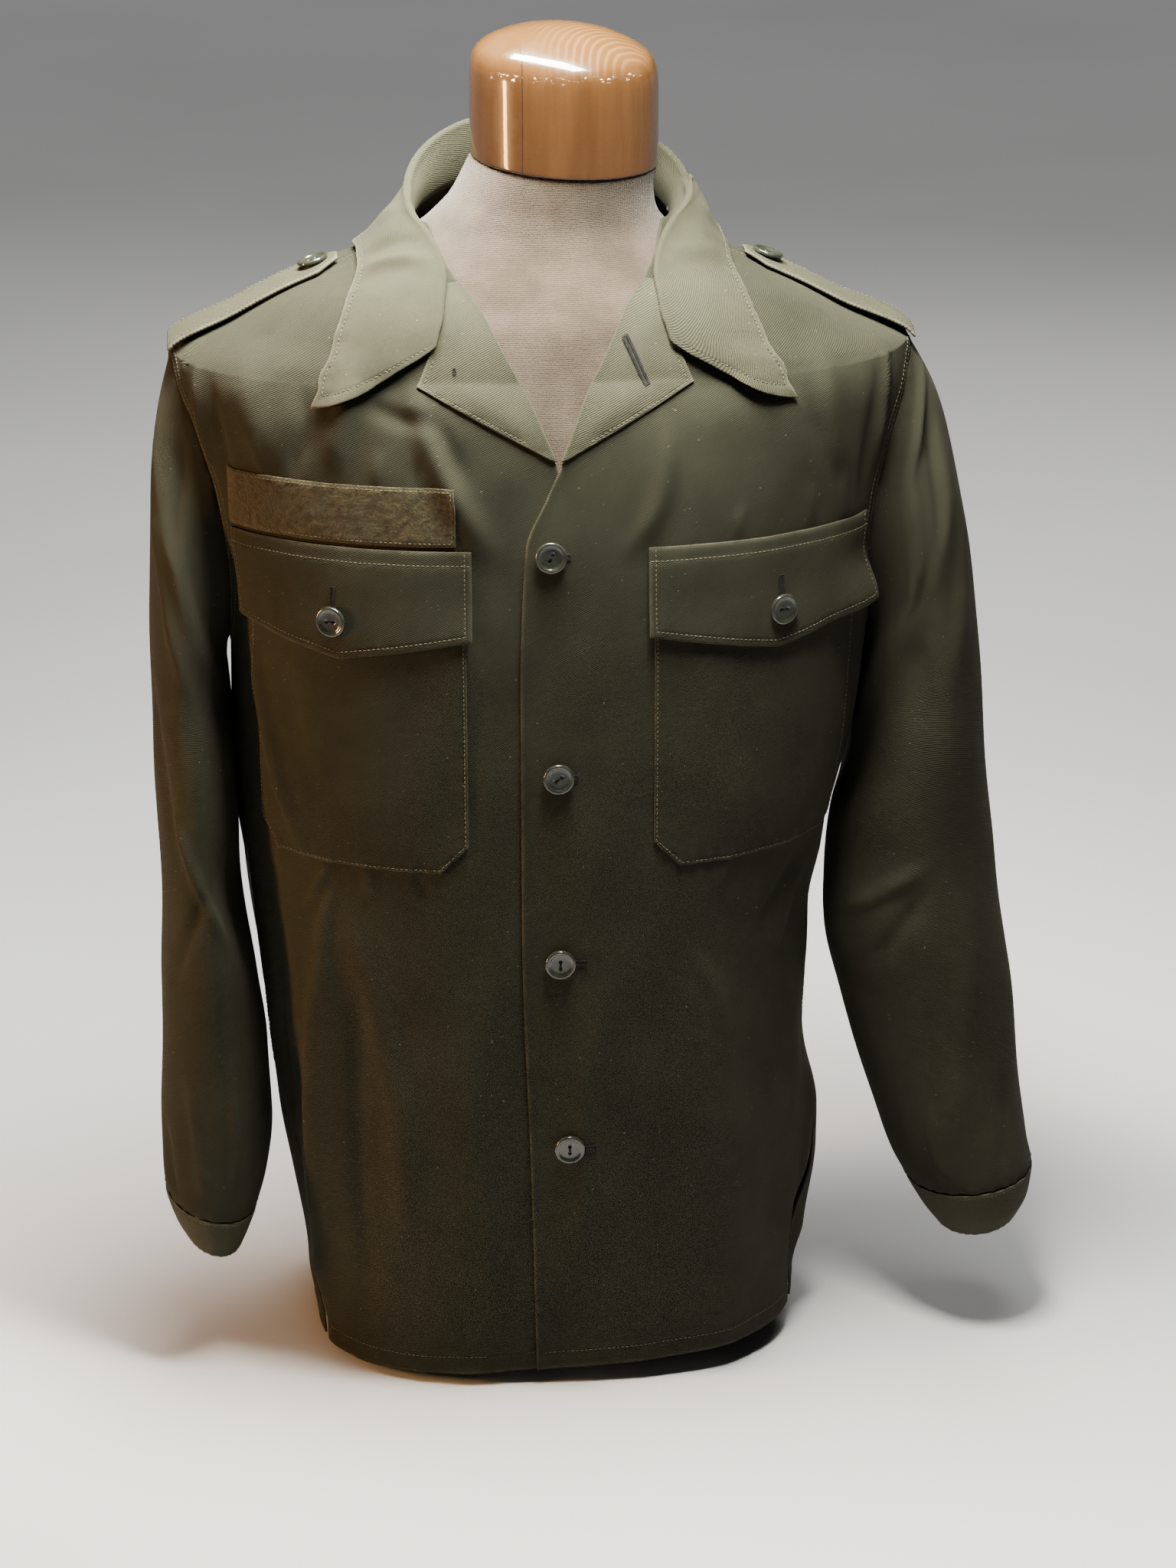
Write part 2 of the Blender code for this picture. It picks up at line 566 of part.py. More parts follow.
# ---------------------------------------------------------------- collar and lapels
def collar_opening(side, turn):
    """How far the collar stands away from the neck, most at the sides of the neck."""
    most = np.where(side > 0, COLLAR_OPEN[0], COLLAR_OPEN[1])
    return most * ramp(turn, 40.0, 78.0) * (1 - ramp(turn, 100.0, 165.0))


def collar():
    """Fall from the roll line to the outer edge, both halves through the centre back."""
    u = np.linspace(-1, 1, 25)
    station = np.column_stack([np.linspace(0, 1, len(COLLAR)), COLLAR])
    roll_turn, roll_z, roll_lift, edge_turn, edge_z, edge_lift = (
        smooth(np.abs(u), station, k)[:, None] for k in range(1, 7))
    v = np.linspace(0, 1, 6)[None, :]
    z = roll_z + (edge_z - roll_z) * v
    turn = roll_turn + (edge_turn - roll_turn) * v
    side = np.where(u < 0, -1.0, 1.0)[:, None] + np.zeros(z.shape)
    lift = roll_lift + (edge_lift - roll_lift) * v + COLLAR_BULGE * np.sin(np.pi * v) ** 2
    lift = lift + collar_opening(side, turn) * (1 - 0.75 * v**2)
    s = side * arc_at_turn(z, turn, side)
    wall("collar", body(s, z, lift), body(s, z, lift - DOUBLE), TWILL_FACED)


def collar_stand():
    """Band from the neckline up to just inside the roll line, round the back of the neck."""
    u = np.linspace(-1, 1, 17)[:, None]
    turn = 180.0 - np.abs(u) * STAND_REACH
    stations = COLLAR[::-1][:, [0, 1]]
    roll_z = smooth(turn, stations, 1)
    neck = NECK_Z + BACK_NECK_RISE * np.clip(1 - ((180.0 - turn) / 90.0) ** 2, 0.0, 1.0)
    v = np.linspace(0, 1, 4)[None, :]
    base = neck + 2 * GAP
    z = base + (np.maximum(roll_z - 0.0015, base + 0.003) - base) * v
    turn = turn + np.zeros(z.shape)
    side = np.where(u < 0, -1.0, 1.0) + np.zeros(z.shape)
    lift = (STAND_FLARE + collar_opening(side, turn)) * v
    s = side * arc_at_turn(z, turn, side)
    wall("collar_stand", body(s, z, lift), body(s, z, lift - CLOTH), TWILL_FACED)


def lapel(side):
    """Turned-back facing that lies on the front from the crossing up under the collar."""
    rows = np.column_stack([np.linspace(0, 1, len(LAPEL)), LAPEL])
    t = np.linspace(0, 1, 10)
    roll_s, roll_z, edge_s, edge_z = (smooth(t, rows, k)[:, None] for k in range(1, 5))
    v = np.linspace(0, 1, 5)[None, :]
    s = roll_s + (edge_s - roll_s) * v
    z = roll_z + (edge_z - roll_z) * v
    lift = LAID + CLOTH + 0.0006 * np.sin(np.pi * v)
    name = "lapel_left" if side > 0 else "lapel_right"
    wall(name, body(side * s, z, lift), body(side * s, z, lift - CLOTH), TWILL_FACED)


# ---------------------------------------------------------------- pockets, tape, straps
def fullness(s, z):
    """Outward swell of a pocket, shared by its flap."""
    u = np.clip((s - POCKET_S[0]) / (POCKET_S[1] - POCKET_S[0]), 0.0, 1.0)
    v = np.clip((z - POCKET_Z[0]) / (POCKET_Z[1] - POCKET_Z[0]), 0.0, 1.0)
    return POCKET_FULLNESS * np.sin(np.pi * u) * np.sin(np.pi * v ** 0.8)


def pocket(side):
    """Patch with its two lower corners cut off."""
    v, u = grid(9, 11)
    z = POCKET_Z[0] + (POCKET_Z[1] - POCKET_Z[0]) * v
    cut = np.clip(POCKET_CHAMFER - (z - POCKET_Z[0]), 0.0, None)
    s = POCKET_S[0] + cut + (POCKET_S[1] - POCKET_S[0] - 2 * cut) * u
    lift = LAID + CLOTH + fullness(s, z)
    name = "pocket_left" if side > 0 else "pocket_right"
    wall(name, body(side * s, z, lift), body(side * s, z, lift - CLOTH), TWILL)


def flap_points(side, s, z):
    """Lift of the flap's outside: on the front at its top, over the pocket below."""
    lift = LAID + DOUBLE + (CLOTH + LAID) * (1 - ramp(z, 0.5915, 0.5985)) + fullness(s, z)
    if side > 0:
        outward = (s - FLAP_S[0]) / (FLAP_S[1] - FLAP_S[0])
        down = (FLAP_TOP_Z - z) / (FLAP_TOP_Z - FLAP_SIDE_Z)
        lift = lift + FLAP_CURL * ramp(outward, 0.72, 1.0) * ramp(down, 0.35, 1.0)
    return lift


def flap(side):
    """Pocket flap with a pointed lower edge."""
    v, u = grid(6, 12)
    low = FLAP_SIDE_Z + (FLAP_POINT_Z - FLAP_SIDE_Z) * (1 - np.abs(2 * u - 1))
    z = FLAP_TOP_Z + (low - FLAP_TOP_Z) * v
    s = FLAP_S[0] + (FLAP_S[1] - FLAP_S[0]) * u
    lift = flap_points(side, s, z)
    name = "flap_left" if side > 0 else "flap_right"
    wall(name, body(side * s, z, lift), body(side * s, z, lift - DOUBLE), TWILL_FACED)


def loop_tape():
    """Strip of loop tape above the wearer's right flap."""
    v, u = grid(2, 12)
    z = TAPE_Z[0] + (TAPE_Z[1] - TAPE_Z[0]) * v
    s = TAPE_S[0] + (TAPE_S[1] - TAPE_S[0]) * u
    wall("loop_tape", body(-s, z, LAID + DOUBLE), body(-s, z, LAID), TAPE)


def strap_lift(along):
    return LAID + STRAP_ARCH * np.sin(np.pi * along)


def strap(side):
    """Shoulder strap from its pointed tip by the collar to the armhole seam."""
    along, across = grid(9, 4)
    half = STRAP_HALF[0] + (STRAP_HALF[1] - STRAP_HALF[0]) * along
    half = half * np.clip(0.35 + along / 0.12 * 0.65, 0.35, 1.0)
    y = (2 * across - 1) * half
    x = STRAP_X[0] + (STRAP_X[1] - STRAP_X[0]) * along
    low = shoulder(x, y, strap_lift(along) / math.cos(math.radians(25)), side)
    high = low + np.array([0.38, 0.0, 0.92]) * DOUBLE
    name = "shoulder_strap_left" if side > 0 else "shoulder_strap_right"
    wall(name, mirrored(high, side), mirrored(low, side), TWILL_FACED)


# ---------------------------------------------------------------- buttons
def button_mesh():
    """Two-hole button, raised at the rim and dished, its back on the plane z = 0."""
    profile = ((0.0, 0.84), (0.0, 1.0), (0.55, 1.0), (1.0, 0.90), (0.92, 0.72), (0.62, 0.60))
    around = 12
    turn = np.linspace(0, 2 * np.pi, around + 1)[:-1]
    rings = [np.stack([BUTTON_RADIUS * r * np.cos(turn), BUTTON_RADIUS * r * np.sin(turn),
                       np.full(around, BUTTON_THICK * h)], 1) for h, r in profile]
    blank = solid("button_blank", np.array(rings), BUTTON)
    work = bmesh.new()
    for x in (-0.0021, 0.0021):
        bmesh.ops.create_cone(work, cap_ends=True, segments=6, radius1=0.0011, radius2=0.0011,
                              depth=0.012, matrix=Matrix.Translation((x, 0.0, 0.0)))
    holes = bpy.data.meshes.new("button_holes")
    work.to_mesh(holes)
    work.free()
    cutter = bpy.data.objects.new("button_holes", holes)
    cutter.hide_render = True
    cutter.display_type = "WIRE"
    bpy.context.scene.collection.objects.link(cutter)
    cut = blank.modifiers.new("holes", "BOOLEAN")
    cut.operation = "DIFFERENCE"
    cut.solver = "EXACT"
    cut.object = cutter
    bpy.context.view_layer.update()
    evaluated = blank.evaluated_get(bpy.context.evaluated_depsgraph_get())
    mesh = bpy.data.meshes.new_from_object(evaluated)
    mesh.name = "button"
    bpy.data.objects.remove(blank)
    bpy.data.objects.remove(cutter)
    return mesh


def place_button(name, mesh, at, normal, spin, scale=1.0):
    """Button on a surface point, its axis along the normal, its holes turned by spin."""
    axis = Vector(normal).normalized()
    turn = axis.to_track_quat("Z", "Y").to_matrix().to_4x4()
    thing = bpy.data.objects.new(name, mesh)
    seat = Vector(at) + axis * GAP
    thing.matrix_world = (Matrix.Translation(seat) @ turn @ Matrix.Rotation(spin, 4, "Z")
                          @ Matrix.Scale(scale, 4))
    bpy.context.scene.collection.objects.link(thing)


def surface_point(s, z, lift):
    """One point of the body moved out by lift, and the normal there."""
    one = np.array([s]), np.array([z])
    at = body(*one, np.array([lift]))[0]
    return at, body(*one, np.array([lift + 0.001]))[0] - at


def buttons():
    """Buttons of the front, the pockets, the straps and the cuffs."""
    mesh = button_mesh()
    for number, (s, z) in enumerate(FRONT_BUTTONS, start=1):
        at, normal = surface_point(s, z, 0.0)
        place_button(f"front_button_{number}", mesh, at, normal, math.radians(90))
    for side, word in ((1, "left"), (-1, "right")):
        s, z = POCKET_BUTTON
        lift = float(flap_points(side, np.array([s]), np.array([z]))[0])
        at, normal = surface_point(side * s, z, lift + GAP)
        place_button(f"pocket_button_{word}", mesh, at, normal, 0.0)
        along = (STRAP_BUTTON_X - STRAP_X[0]) / (STRAP_X[1] - STRAP_X[0])
        rise = float(strap_lift(along)) / math.cos(math.radians(25)) + DOUBLE
        top = shoulder(np.array([STRAP_BUTTON_X]), np.array([0.0]), rise + GAP, side)[0]
        place_button(f"strap_button_{word}", mesh, mirrored(top, side), (side * 0.30, 0.0, 0.95), 0.0)
        row = np.array([[CUFF_BUTTON[0] - 0.1], [CUFF_BUTTON[0]], [CUFF_BUTTON[0] + 0.1]])
        turn = np.radians(CUFF_BUTTON[1] + np.array([[-2.0, 0.0, 2.0]]))
        row, turn = np.broadcast_arrays(row, turn)
        patch = sleeve_surface(side, row, turn)
        out = unit(np.cross(patch[2, 1] - patch[0, 1], patch[1, 2] - patch[1, 0]))
        out = out * np.sign(out[1])
        spot = patch[1, 1] + out * 0.6 * GAP
        place_button(f"cuff_button_{word}", mesh, mirrored(spot, side), mirrored(out, side), 0.0,
                     CUFF_BUTTON_SCALE)


# ---------------------------------------------------------------- dress form
def oval_rings(rows, around):
    """Rings of the form from table rows, squared ovals about their own middles."""
    turn = np.linspace(0, 2 * np.pi, around + 1)[:-1]
    rings = []
    for z, width, front, back, power, middle in rows:
        depth = np.where(np.cos(turn) > 0, front, back)
        x = middle + width * np.sign(np.sin(turn)) * np.abs(np.sin(turn)) ** (2 / power)
        y = -depth * np.sign(np.cos(turn)) * np.abs(np.cos(turn)) ** (2 / power)
        rings.append(np.stack([x, y, np.full(around, z)], 1))
    return np.array(rings)


def tilt(rings, lowest, highest):
    """Lean the rings near the neck's top to match the cap's lower edge."""
    share = ramp(rings[..., 2], lowest, highest)
    fall = CAP_LEAN * (rings[..., 0] - CAP_X) - CAP_DIP * rings[..., 1]
    tilted = rings.copy()
    tilted[..., 2] -= share * fall
    return tilted


def dress_form():
    """Jersey-covered torso and neck with a flat foot, and the wooden cap of the neck."""
    solid("form_torso", tilt(oval_rings(FORM, 26), 0.790, 0.8182), JERSEY)
    rows = [(z, r, r, r, 2.0, CAP_X) for z, r in CAP]
    rings = oval_rings(rows, 26)
    share = 1 - ramp(rings[..., 2], 0.825, 0.862)
    rings[..., 2] -= CAP_LEAN * (rings[..., 0] - CAP_X) - CAP_DIP * share * rings[..., 1]
    solid("form_neck_cap", rings, WOOD)


def main():
    for thing in list(bpy.data.objects):
        bpy.data.objects.remove(thing)
    dress_form()
    back_panel()
    collar_stand()
    collar()
    loop_tape()
    for side in (1, -1):
        front_panel(side)
        sleeve(side)
        cuff(side)
        lapel(side)
        pocket(side)
        flap(side)
        strap(side)
    buttons()


main()
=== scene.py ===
"""Field shirt worn on a limbless dress form: finer cloth, stitching, buttons and finishes on
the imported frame. Metres, +Z up; the wearer's front faces -Y and the wearer's left is +X."""
import math

import bpy
import numpy as np
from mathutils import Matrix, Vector


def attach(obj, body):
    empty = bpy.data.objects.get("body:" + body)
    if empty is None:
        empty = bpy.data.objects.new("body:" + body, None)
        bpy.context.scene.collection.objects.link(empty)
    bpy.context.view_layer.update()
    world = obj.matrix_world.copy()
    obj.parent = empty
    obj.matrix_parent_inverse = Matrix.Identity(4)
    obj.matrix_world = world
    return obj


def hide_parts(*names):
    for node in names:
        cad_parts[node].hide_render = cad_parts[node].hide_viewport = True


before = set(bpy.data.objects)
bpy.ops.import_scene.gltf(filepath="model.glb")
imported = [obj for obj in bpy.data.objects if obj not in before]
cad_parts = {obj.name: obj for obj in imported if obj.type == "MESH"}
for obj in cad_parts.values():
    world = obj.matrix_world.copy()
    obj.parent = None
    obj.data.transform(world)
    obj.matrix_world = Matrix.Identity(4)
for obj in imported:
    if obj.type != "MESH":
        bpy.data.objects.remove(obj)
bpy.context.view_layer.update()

# ------------------------ sizes
WORDS = {1: "left", -1: "right"}  # the wearer's sides, by the sign of x

SINGLE = 0.0013  # one layer of twill as it looks
FACED = 0.0019  # a faced piece: collar, flap, strap, cuff
GAP = 0.0004
LAY = 0.0003  # space under a piece sewn onto another
LAID = 0.0008
HEM_Z = 0.012
ARMPIT_Z = 0.505
SHOULDER_Z = 0.700
NECK_Z = 0.785
ARM_MIDDLE = (ARMPIT_Z + SHOULDER_Z) / 2
ARM_HALF = (SHOULDER_Z - ARMPIT_Z) / 2
ARMHOLE_HALF_DEPTH = 0.062
BACK_NECK_RISE = 0.012
SHOULDER_EASE = 0.0045  # rounding where the chest turns into the shoulder
SHOULDER_TURN = 0.7035
SHOULDER_REACH = 0.034
SHOULDER_CUSP = 0.0015
POCKET_FULLNESS = 0.003
ROW_LENGTH = 0.0463  # one sleeve row along the arm
TURN_LENGTH = 0.00085  # one degree round the sleeve
HEAD_RADIUS = 0.050  # of the sleeve at its head, along its length and at the cuff
SLEEVE_RADIUS = 0.046
CUFF_RADIUS = 0.045
WEAR_REACH = 0.0016  # how far from an edge the cloth is rubbed

# Low waves of the cloth. columns: how many, shortest, longest, height, seed
BODY_WAVES = (16, 0.030, 0.110, 0.00060, 11)
SLEEVE_WAVES = (12, 0.030, 0.100, 0.00060, 23)
TAPE_PILE = (24, 0.0035, 0.012, 0.00028, 5)
CALM_Z = (0.690, 0.730)  # heights over which the body's die out

# ------------------------ grids
RING_STEPS = 1201
LEVELS = np.linspace(0.0, 0.862, 432)  # heights of the ring table
SHARES = 321  # its samples round a half ring
MARGIN = 3  # samples repeated past its ends
PANEL_STEP = 0.0031
BACK_STEP = 0.0035
BACK_HALF = 0.31  # half width of the back, for its steps
ARM_ROWS = 66
SLEEVE_SIDES = 116
SLEEVE_ROWS = 178
FACED_STEP = 0.0028
LAPEL_STEP = 0.0024
POCKET_STEP = 0.0030
FLAP_STEP = (0.0025, 0.0027)  # down and across, as for the next two
TAPE_STEP = (0.0016, 0.0020)
STRAP_STEP = (0.0026, 0.10)
COLLAR_STEPS = (211, 8, 9)  # points round the neck, down the stand, over the roll
BUTTON_STEPS = (72, 44)  # round the button, along its profile
FORM_STEPS = (110, 128)  # up the form, round it
CAP_STEPS = (90, 144)
EDGE_ROUND = 0.0006  # support line inside every free edge
STITCH_STEP = 0.0007  # lines of the grid beside a stitch line
CLOSEST = 0.00032
TINY = 0.0005  # lift that shows which way is out

# ------------------------ sewing
STITCH_PITCH = 0.0031
THREAD = 0.00062
STITCH_DEPTH = 0.00030
STITCH_HALF = 0.0010
HEM_STITCH = 0.013
HEM_RISE = 0.0004
WELT = 0.0085
WELT_RISE = 0.0006
ARM_STITCH = (0.0018, 0.0072)
SEAM_STITCH = 0.002
SEAM_RISE = 0.0004
SEAM_LAP = 0.003  # how far the back's edge runs on under the front's
VENT_Z = (0.200, 0.205, 0.212)  # the lap starts, the seam starts, the lap is full
CLEAR = 0.003  # a seam's relief ends this far from the armhole
FOLD_RISE = 0.0005  # doubled cloth along the wearer's left front edge
LAP_END = (0.030, 0.050)  # s over which the right front comes out from under the left
CUFF_STITCH = 0.0028
CUFF_LENGTH = 0.046
CUFF_GAP = 0.02  # sleeve rows between CUFF_ROW and the cuff's upper edge
COLLAR_STITCH = 0.005
COLLAR_FRONT_STITCH = 0.009
COLLAR_HALF = 0.262
COLLAR_INNER = 0.0040
FALL_LENGTH = 0.066
ROLL_LENGTH = 0.008
ROLL_RADIUS = (0.0010, 0.0030)  # least and most
STAND_LENGTH = 0.032
STAND_LEAN = 0.0030
STAND_FOOT = 0.0036  # how far inside the neckline the stand is sewn
STAND_TUCK = 0.003  # how far below it the stand ends
LAPEL_STITCH = 0.004
LAPEL_LENGTH = 0.110
LAPEL_WIDTH = 0.064
LAPEL_TOP = LAY + SINGLE + 0.0016
LAPEL_SLIT = ((0.044, 0.727), (0.057, 0.701))
LAPEL_EYELET = ((-0.0640, 0.7110), (-0.0640, 0.7092))
POCKET_STITCH = 0.0020
FLAP_STITCH = 0.0045
FLAP_BAND = 0.009
FLAP_SLIT = 0.021
TAPE_STITCH = 0.0022
STRAP_STITCH = 0.003
STRAP_TIP = 0.0022
SLIT_START = 0.004  # buttonhole's ends, from the middle of its button
SLIT_REACH = (0.0115, 0.0115, 0.0165, 0.0165)

# Puckers that a seam draws up: height, and pitch along the seam.
HEM_PUCKER = (0.00022, 0.0115)
SEAM_PUCKER = (0.00025, 0.010)
HEAD_PUCKER = (0.0009, 0.013)
WRIST_PUCKER = (0.0007, 0.012)
CUFF_PUCKERS = ((0.0003, 0.009), (0.0003, 0.011))
COLLAR_PUCKER = (0.0003, 0.009)
LAPEL_PUCKER = (0.00022, 0.010)
POCKET_PUCKERS = ((0.0005, 0.0085), (0.0002, 0.011))
FLAP_PUCKER = (0.0003, 0.01)
BAND_PUCKER = (0.0002, 0.012)

# ------------------------ shapes
BUTTON_RADIUS = 0.0102
BUTTON_THICK = 0.0034
BUTTON_SPIN = (62.0, 35.0, 90.0, 90.0)
CUFF_BUTTON_SCALE = 0.85
HOLE_APART = 0.0021
HOLE_RADIUS = 0.00115
HOLE_DEPTH = 0.0011
FRONT_ROWS = 5.0  # rows of the profile past this one are the front
STRANDS = (-0.00042, 0.0, 0.00042)
# columns: height share of BUTTON_THICK, share of BUTTON_RADIUS
BUTTON_PROFILE = np.array([
    (0.00, 0.03), (0.00, 0.50), (0.00, 0.78), (0.16, 0.95), (0.50, 1.00), (0.84, 0.965),
    (1.00, 0.86), (0.90, 0.755), (0.70, 0.66), (0.62, 0.50), (0.60, 0.22), (0.60, 0.02)])

# Rings of the shirt's outside. Above NECK_Z they carry only the collar.
# columns: height, wearer's left half width, right half width, front depth, back depth, squareness
BODY = np.array([
    (0.000, 0.171, 0.161, 0.135, 0.126, 3.00),
    (0.060, 0.174, 0.163, 0.140, 0.123, 2.90),
    (0.130, 0.181, 0.174, 0.146, 0.118, 2.80),
    (0.175, 0.180, 0.182, 0.149, 0.115, 2.75),
    (0.220, 0.177, 0.188, 0.151, 0.113, 2.70),
    (0.270, 0.1765, 0.1955, 0.152, 0.112, 2.65),
    (0.320, 0.178, 0.200, 0.153, 0.111, 2.60),
    (0.370, 0.1895, 0.2035, 0.1535, 0.113, 2.55),
    (0.420, 0.203, 0.2055, 0.154, 0.115, 2.50),
    (0.505, 0.216, 0.209, 0.153, 0.120, 2.40),
    (0.560, 0.219, 0.216, 0.151, 0.123, 2.40),
    (0.610, 0.227, 0.226, 0.147, 0.124, 2.35),
    (0.660, 0.238, 0.238, 0.139, 0.119, 2.30),
    (0.700, 0.2440, 0.2455, 0.127, 0.110, 2.25),
    (0.722, 0.197, 0.202, 0.116, 0.101, 2.20),
    (0.743, 0.156, 0.160, 0.102, 0.091, 2.20),
    (0.758, 0.119, 0.121, 0.089, 0.082, 2.20),
    (0.772, 0.097, 0.097, 0.077, 0.073, 2.20),
    (0.785, 0.084, 0.084, 0.068, 0.067, 2.20),
    (0.800, 0.077, 0.077, 0.062, 0.066, 2.20),
    (0.860, 0.074, 0.074, 0.060, 0.068, 2.20)])
HEM_TILT = 0.045  # rise of the hem towards the wearer's left, per metre of x

# Front edge of either front below the crossing, and the lapel's roll line above it.
# columns: height, distance from the centre line, negative past it on the wearer's other side
FRONT_EDGE = np.array([
    (0.000, -0.016), (0.150, -0.020), (0.350, -0.026), (0.500, -0.026), (0.600, -0.022),
    (0.633, -0.008), (0.652, 0.001), (0.700, 0.022), (0.743, 0.047), (0.765, 0.066),
    (0.800, 0.100)])

# Side seam, which swings forward below the armpit, and the vent that opens at its foot.
# columns: height, y of the seam, half opening of the vent
SIDE_SEAM = np.array([
    (0.000, -0.062, 0.0050), (0.100, -0.058, 0.0030), (0.200, -0.050, 0.0002),
    (0.400, -0.020, 0.0002), (0.505, 0.000, 0.0002)])

# Largest folds of the body: soft ridges (positive) and troughs (negative).
# columns: start s, start z, end s, end z, half width, height; s runs round from centre front
BODY_FOLDS = np.array([
    (-0.158, 0.345, -0.190, 0.060, 0.018, 0.0080),
    (-0.120, 0.330, -0.135, 0.050, 0.020, -0.0040),
    (0.100, 0.360, 0.118, 0.040, 0.022, 0.0050),
    (0.150, 0.330, 0.160, 0.090, 0.018, -0.0035),
    (-0.225, 0.300, -0.235, 0.040, 0.022, 0.0050),
    (0.222, 0.220, 0.232, 0.050, 0.018, 0.0070),
    (0.330, 0.520, 0.350, 0.030, 0.026, 0.0080),
    (-0.345, 0.480, -0.335, 0.030, 0.028, 0.0085),
    (0.420, 0.360, 0.410, 0.020, 0.026, -0.0050),
    (-0.415, 0.420, -0.405, 0.020, 0.024, 0.0050)])

# Sleeve sections, each an oval between an outer and an inner point in the XZ plane.
# columns: outer x, outer z, inner x, inner z, middle y, half depth
SLEEVE_LEFT = np.array([
    (0.2440, 0.700, 0.2160, 0.505, 0.000, 0.062),
    (0.2600, 0.670, 0.2180, 0.499, -0.001, 0.064),
    (0.2700, 0.632, 0.2175, 0.490, -0.003, 0.067),
    (0.2790, 0.590, 0.2160, 0.478, -0.006, 0.068),
    (0.2860, 0.545, 0.2140, 0.462, -0.010, 0.068),
    (0.2920, 0.495, 0.2115, 0.441, -0.014, 0.066),
    (0.2960, 0.440, 0.2075, 0.408, -0.018, 0.064),
    (0.3010, 0.385, 0.1945, 0.368, -0.022, 0.061),
    (0.3075, 0.333, 0.1885, 0.330, -0.025, 0.058),
    (0.3150, 0.283, 0.1915, 0.289, -0.029, 0.057),
    (0.3220, 0.230, 0.2020, 0.240, -0.034, 0.055),
    (0.3275, 0.175, 0.2170, 0.190, -0.041, 0.053),
    (0.3330, 0.138, 0.2330, 0.140, -0.046, 0.051),
    (0.3365, 0.116, 0.2490, 0.107, -0.049, 0.048),
    (0.3345, 0.097, 0.2610, 0.086, -0.049, 0.044),
    (0.3270, 0.080, 0.2730, 0.070, -0.047, 0.038)])
SLEEVE_RIGHT = np.array([
    (0.2455, 0.700, 0.2090, 0.505, 0.000, 0.062),
    (0.2520, 0.669, 0.2110, 0.499, -0.001, 0.065),
    (0.2560, 0.632, 0.2110, 0.490, -0.003, 0.069),
    (0.2590, 0.590, 0.2100, 0.478, -0.006, 0.072),
    (0.2610, 0.545, 0.2090, 0.462, -0.010, 0.071),
    (0.2620, 0.495, 0.2085, 0.440, -0.014, 0.070),
    (0.2625, 0.440, 0.2080, 0.405, -0.018, 0.069),
    (0.2615, 0.385, 0.2065, 0.366, -0.022, 0.068),
    (0.2610, 0.330, 0.2030, 0.320, -0.026, 0.067),
    (0.2625, 0.275, 0.1985, 0.270, -0.030, 0.066),
    (0.2645, 0.220, 0.1915, 0.220, -0.035, 0.064),
    (0.2660, 0.172, 0.1905, 0.172, -0.041, 0.060),
    (0.2660, 0.142, 0.1955, 0.132, -0.045, 0.056),
    (0.2650, 0.122, 0.2030, 0.106, -0.048, 0.051),
    (0.2600, 0.103, 0.2090, 0.089, -0.048, 0.045),
    (0.2520, 0.087, 0.2150, 0.075, -0.046, 0.038)])
SLEEVES = {1: SLEEVE_LEFT, -1: SLEEVE_RIGHT}
CUFF_ROW = 13  # section where the cuff begins

# Folds round the sleeves. columns: row, turn in degrees (0 outer, 90 front, 180 inner),
# slant in degrees a row, half width in rows, half width in degrees, height
SLEEVE_FOLDS = np.array([
    (2.2, 60, 14, 0.9, 26, 0.0045),
    (4.2, 125, -10, 1.0, 30, -0.0045),
    (7.6, 150, 22, 0.7, 40, -0.0060),
    (8.7, 120, 18, 0.7, 40, 0.0045),
    (10.6, 70, -16, 0.9, 34, -0.0035),
    (11.9, 250, 12, 0.8, 34, 0.0040),
    (6.4, 240, 16, 0.9, 34, 0.0040)])

# Collar's fall from its roll line to its outer edge, wearer's left half from the centre back.
# columns: roll turn, roll z, roll lift, edge turn, edge z, edge lift; turns from centre front
COLLAR = np.array([
    (180.0, 0.832, 0.0105, 180.0, 0.758, 0.0042),
    (165.0, 0.8303, 0.0105, 167.5, 0.7564, 0.0042),
    (150.0, 0.828, 0.0105, 155.0, 0.755, 0.0042),
    (134.7, 0.8225, 0.0105, 142.3, 0.7537, 0.0042),
    (120.0, 0.815, 0.0105, 130.0, 0.753, 0.0042),
    (106.9, 0.8068, 0.0103, 118.5, 0.7541, 0.0041),
    (95.0, 0.799, 0.0100, 107.0, 0.756, 0.0040),
    (84.9, 0.7932, 0.0098, 97.5, 0.7579, 0.0039),
    (75.0, 0.788, 0.0095, 89.0, 0.759, 0.0038),
    (63.1, 0.7826, 0.0090, 80.5, 0.7581, 0.0037),
    (52.0, 0.777, 0.0085, 71.5, 0.756, 0.0036),
    (43.7, 0.7712, 0.0081, 63.0, 0.7523, 0.0035),
    (37.0, 0.765, 0.0078, 55.5, 0.747, 0.0034),
    (31.4, 0.7581, 0.0075, 50.0, 0.7408, 0.0033),
    (27.0, 0.751, 0.0072, 45.6, 0.733, 0.0032),
    (23.7, 0.7441, 0.0069, 41.7, 0.7228, 0.0032),
    (21.5, 0.737, 0.0066, 36.8, 0.711, 0.0032),
    (20.4, 0.7296, 0.0064, 34.9, 0.6983, 0.0033),
    (19.5, 0.722, 0.0062, 36.7, 0.685, 0.0034)])
COLLAR_BULGE = 0.0035
COLLAR_SAG = 0.0110  # bow of its points' lower edges, downward
COLLAR_OPEN = (0.0110, 0.0020)  # how far its sides stand away from the neck, left and right

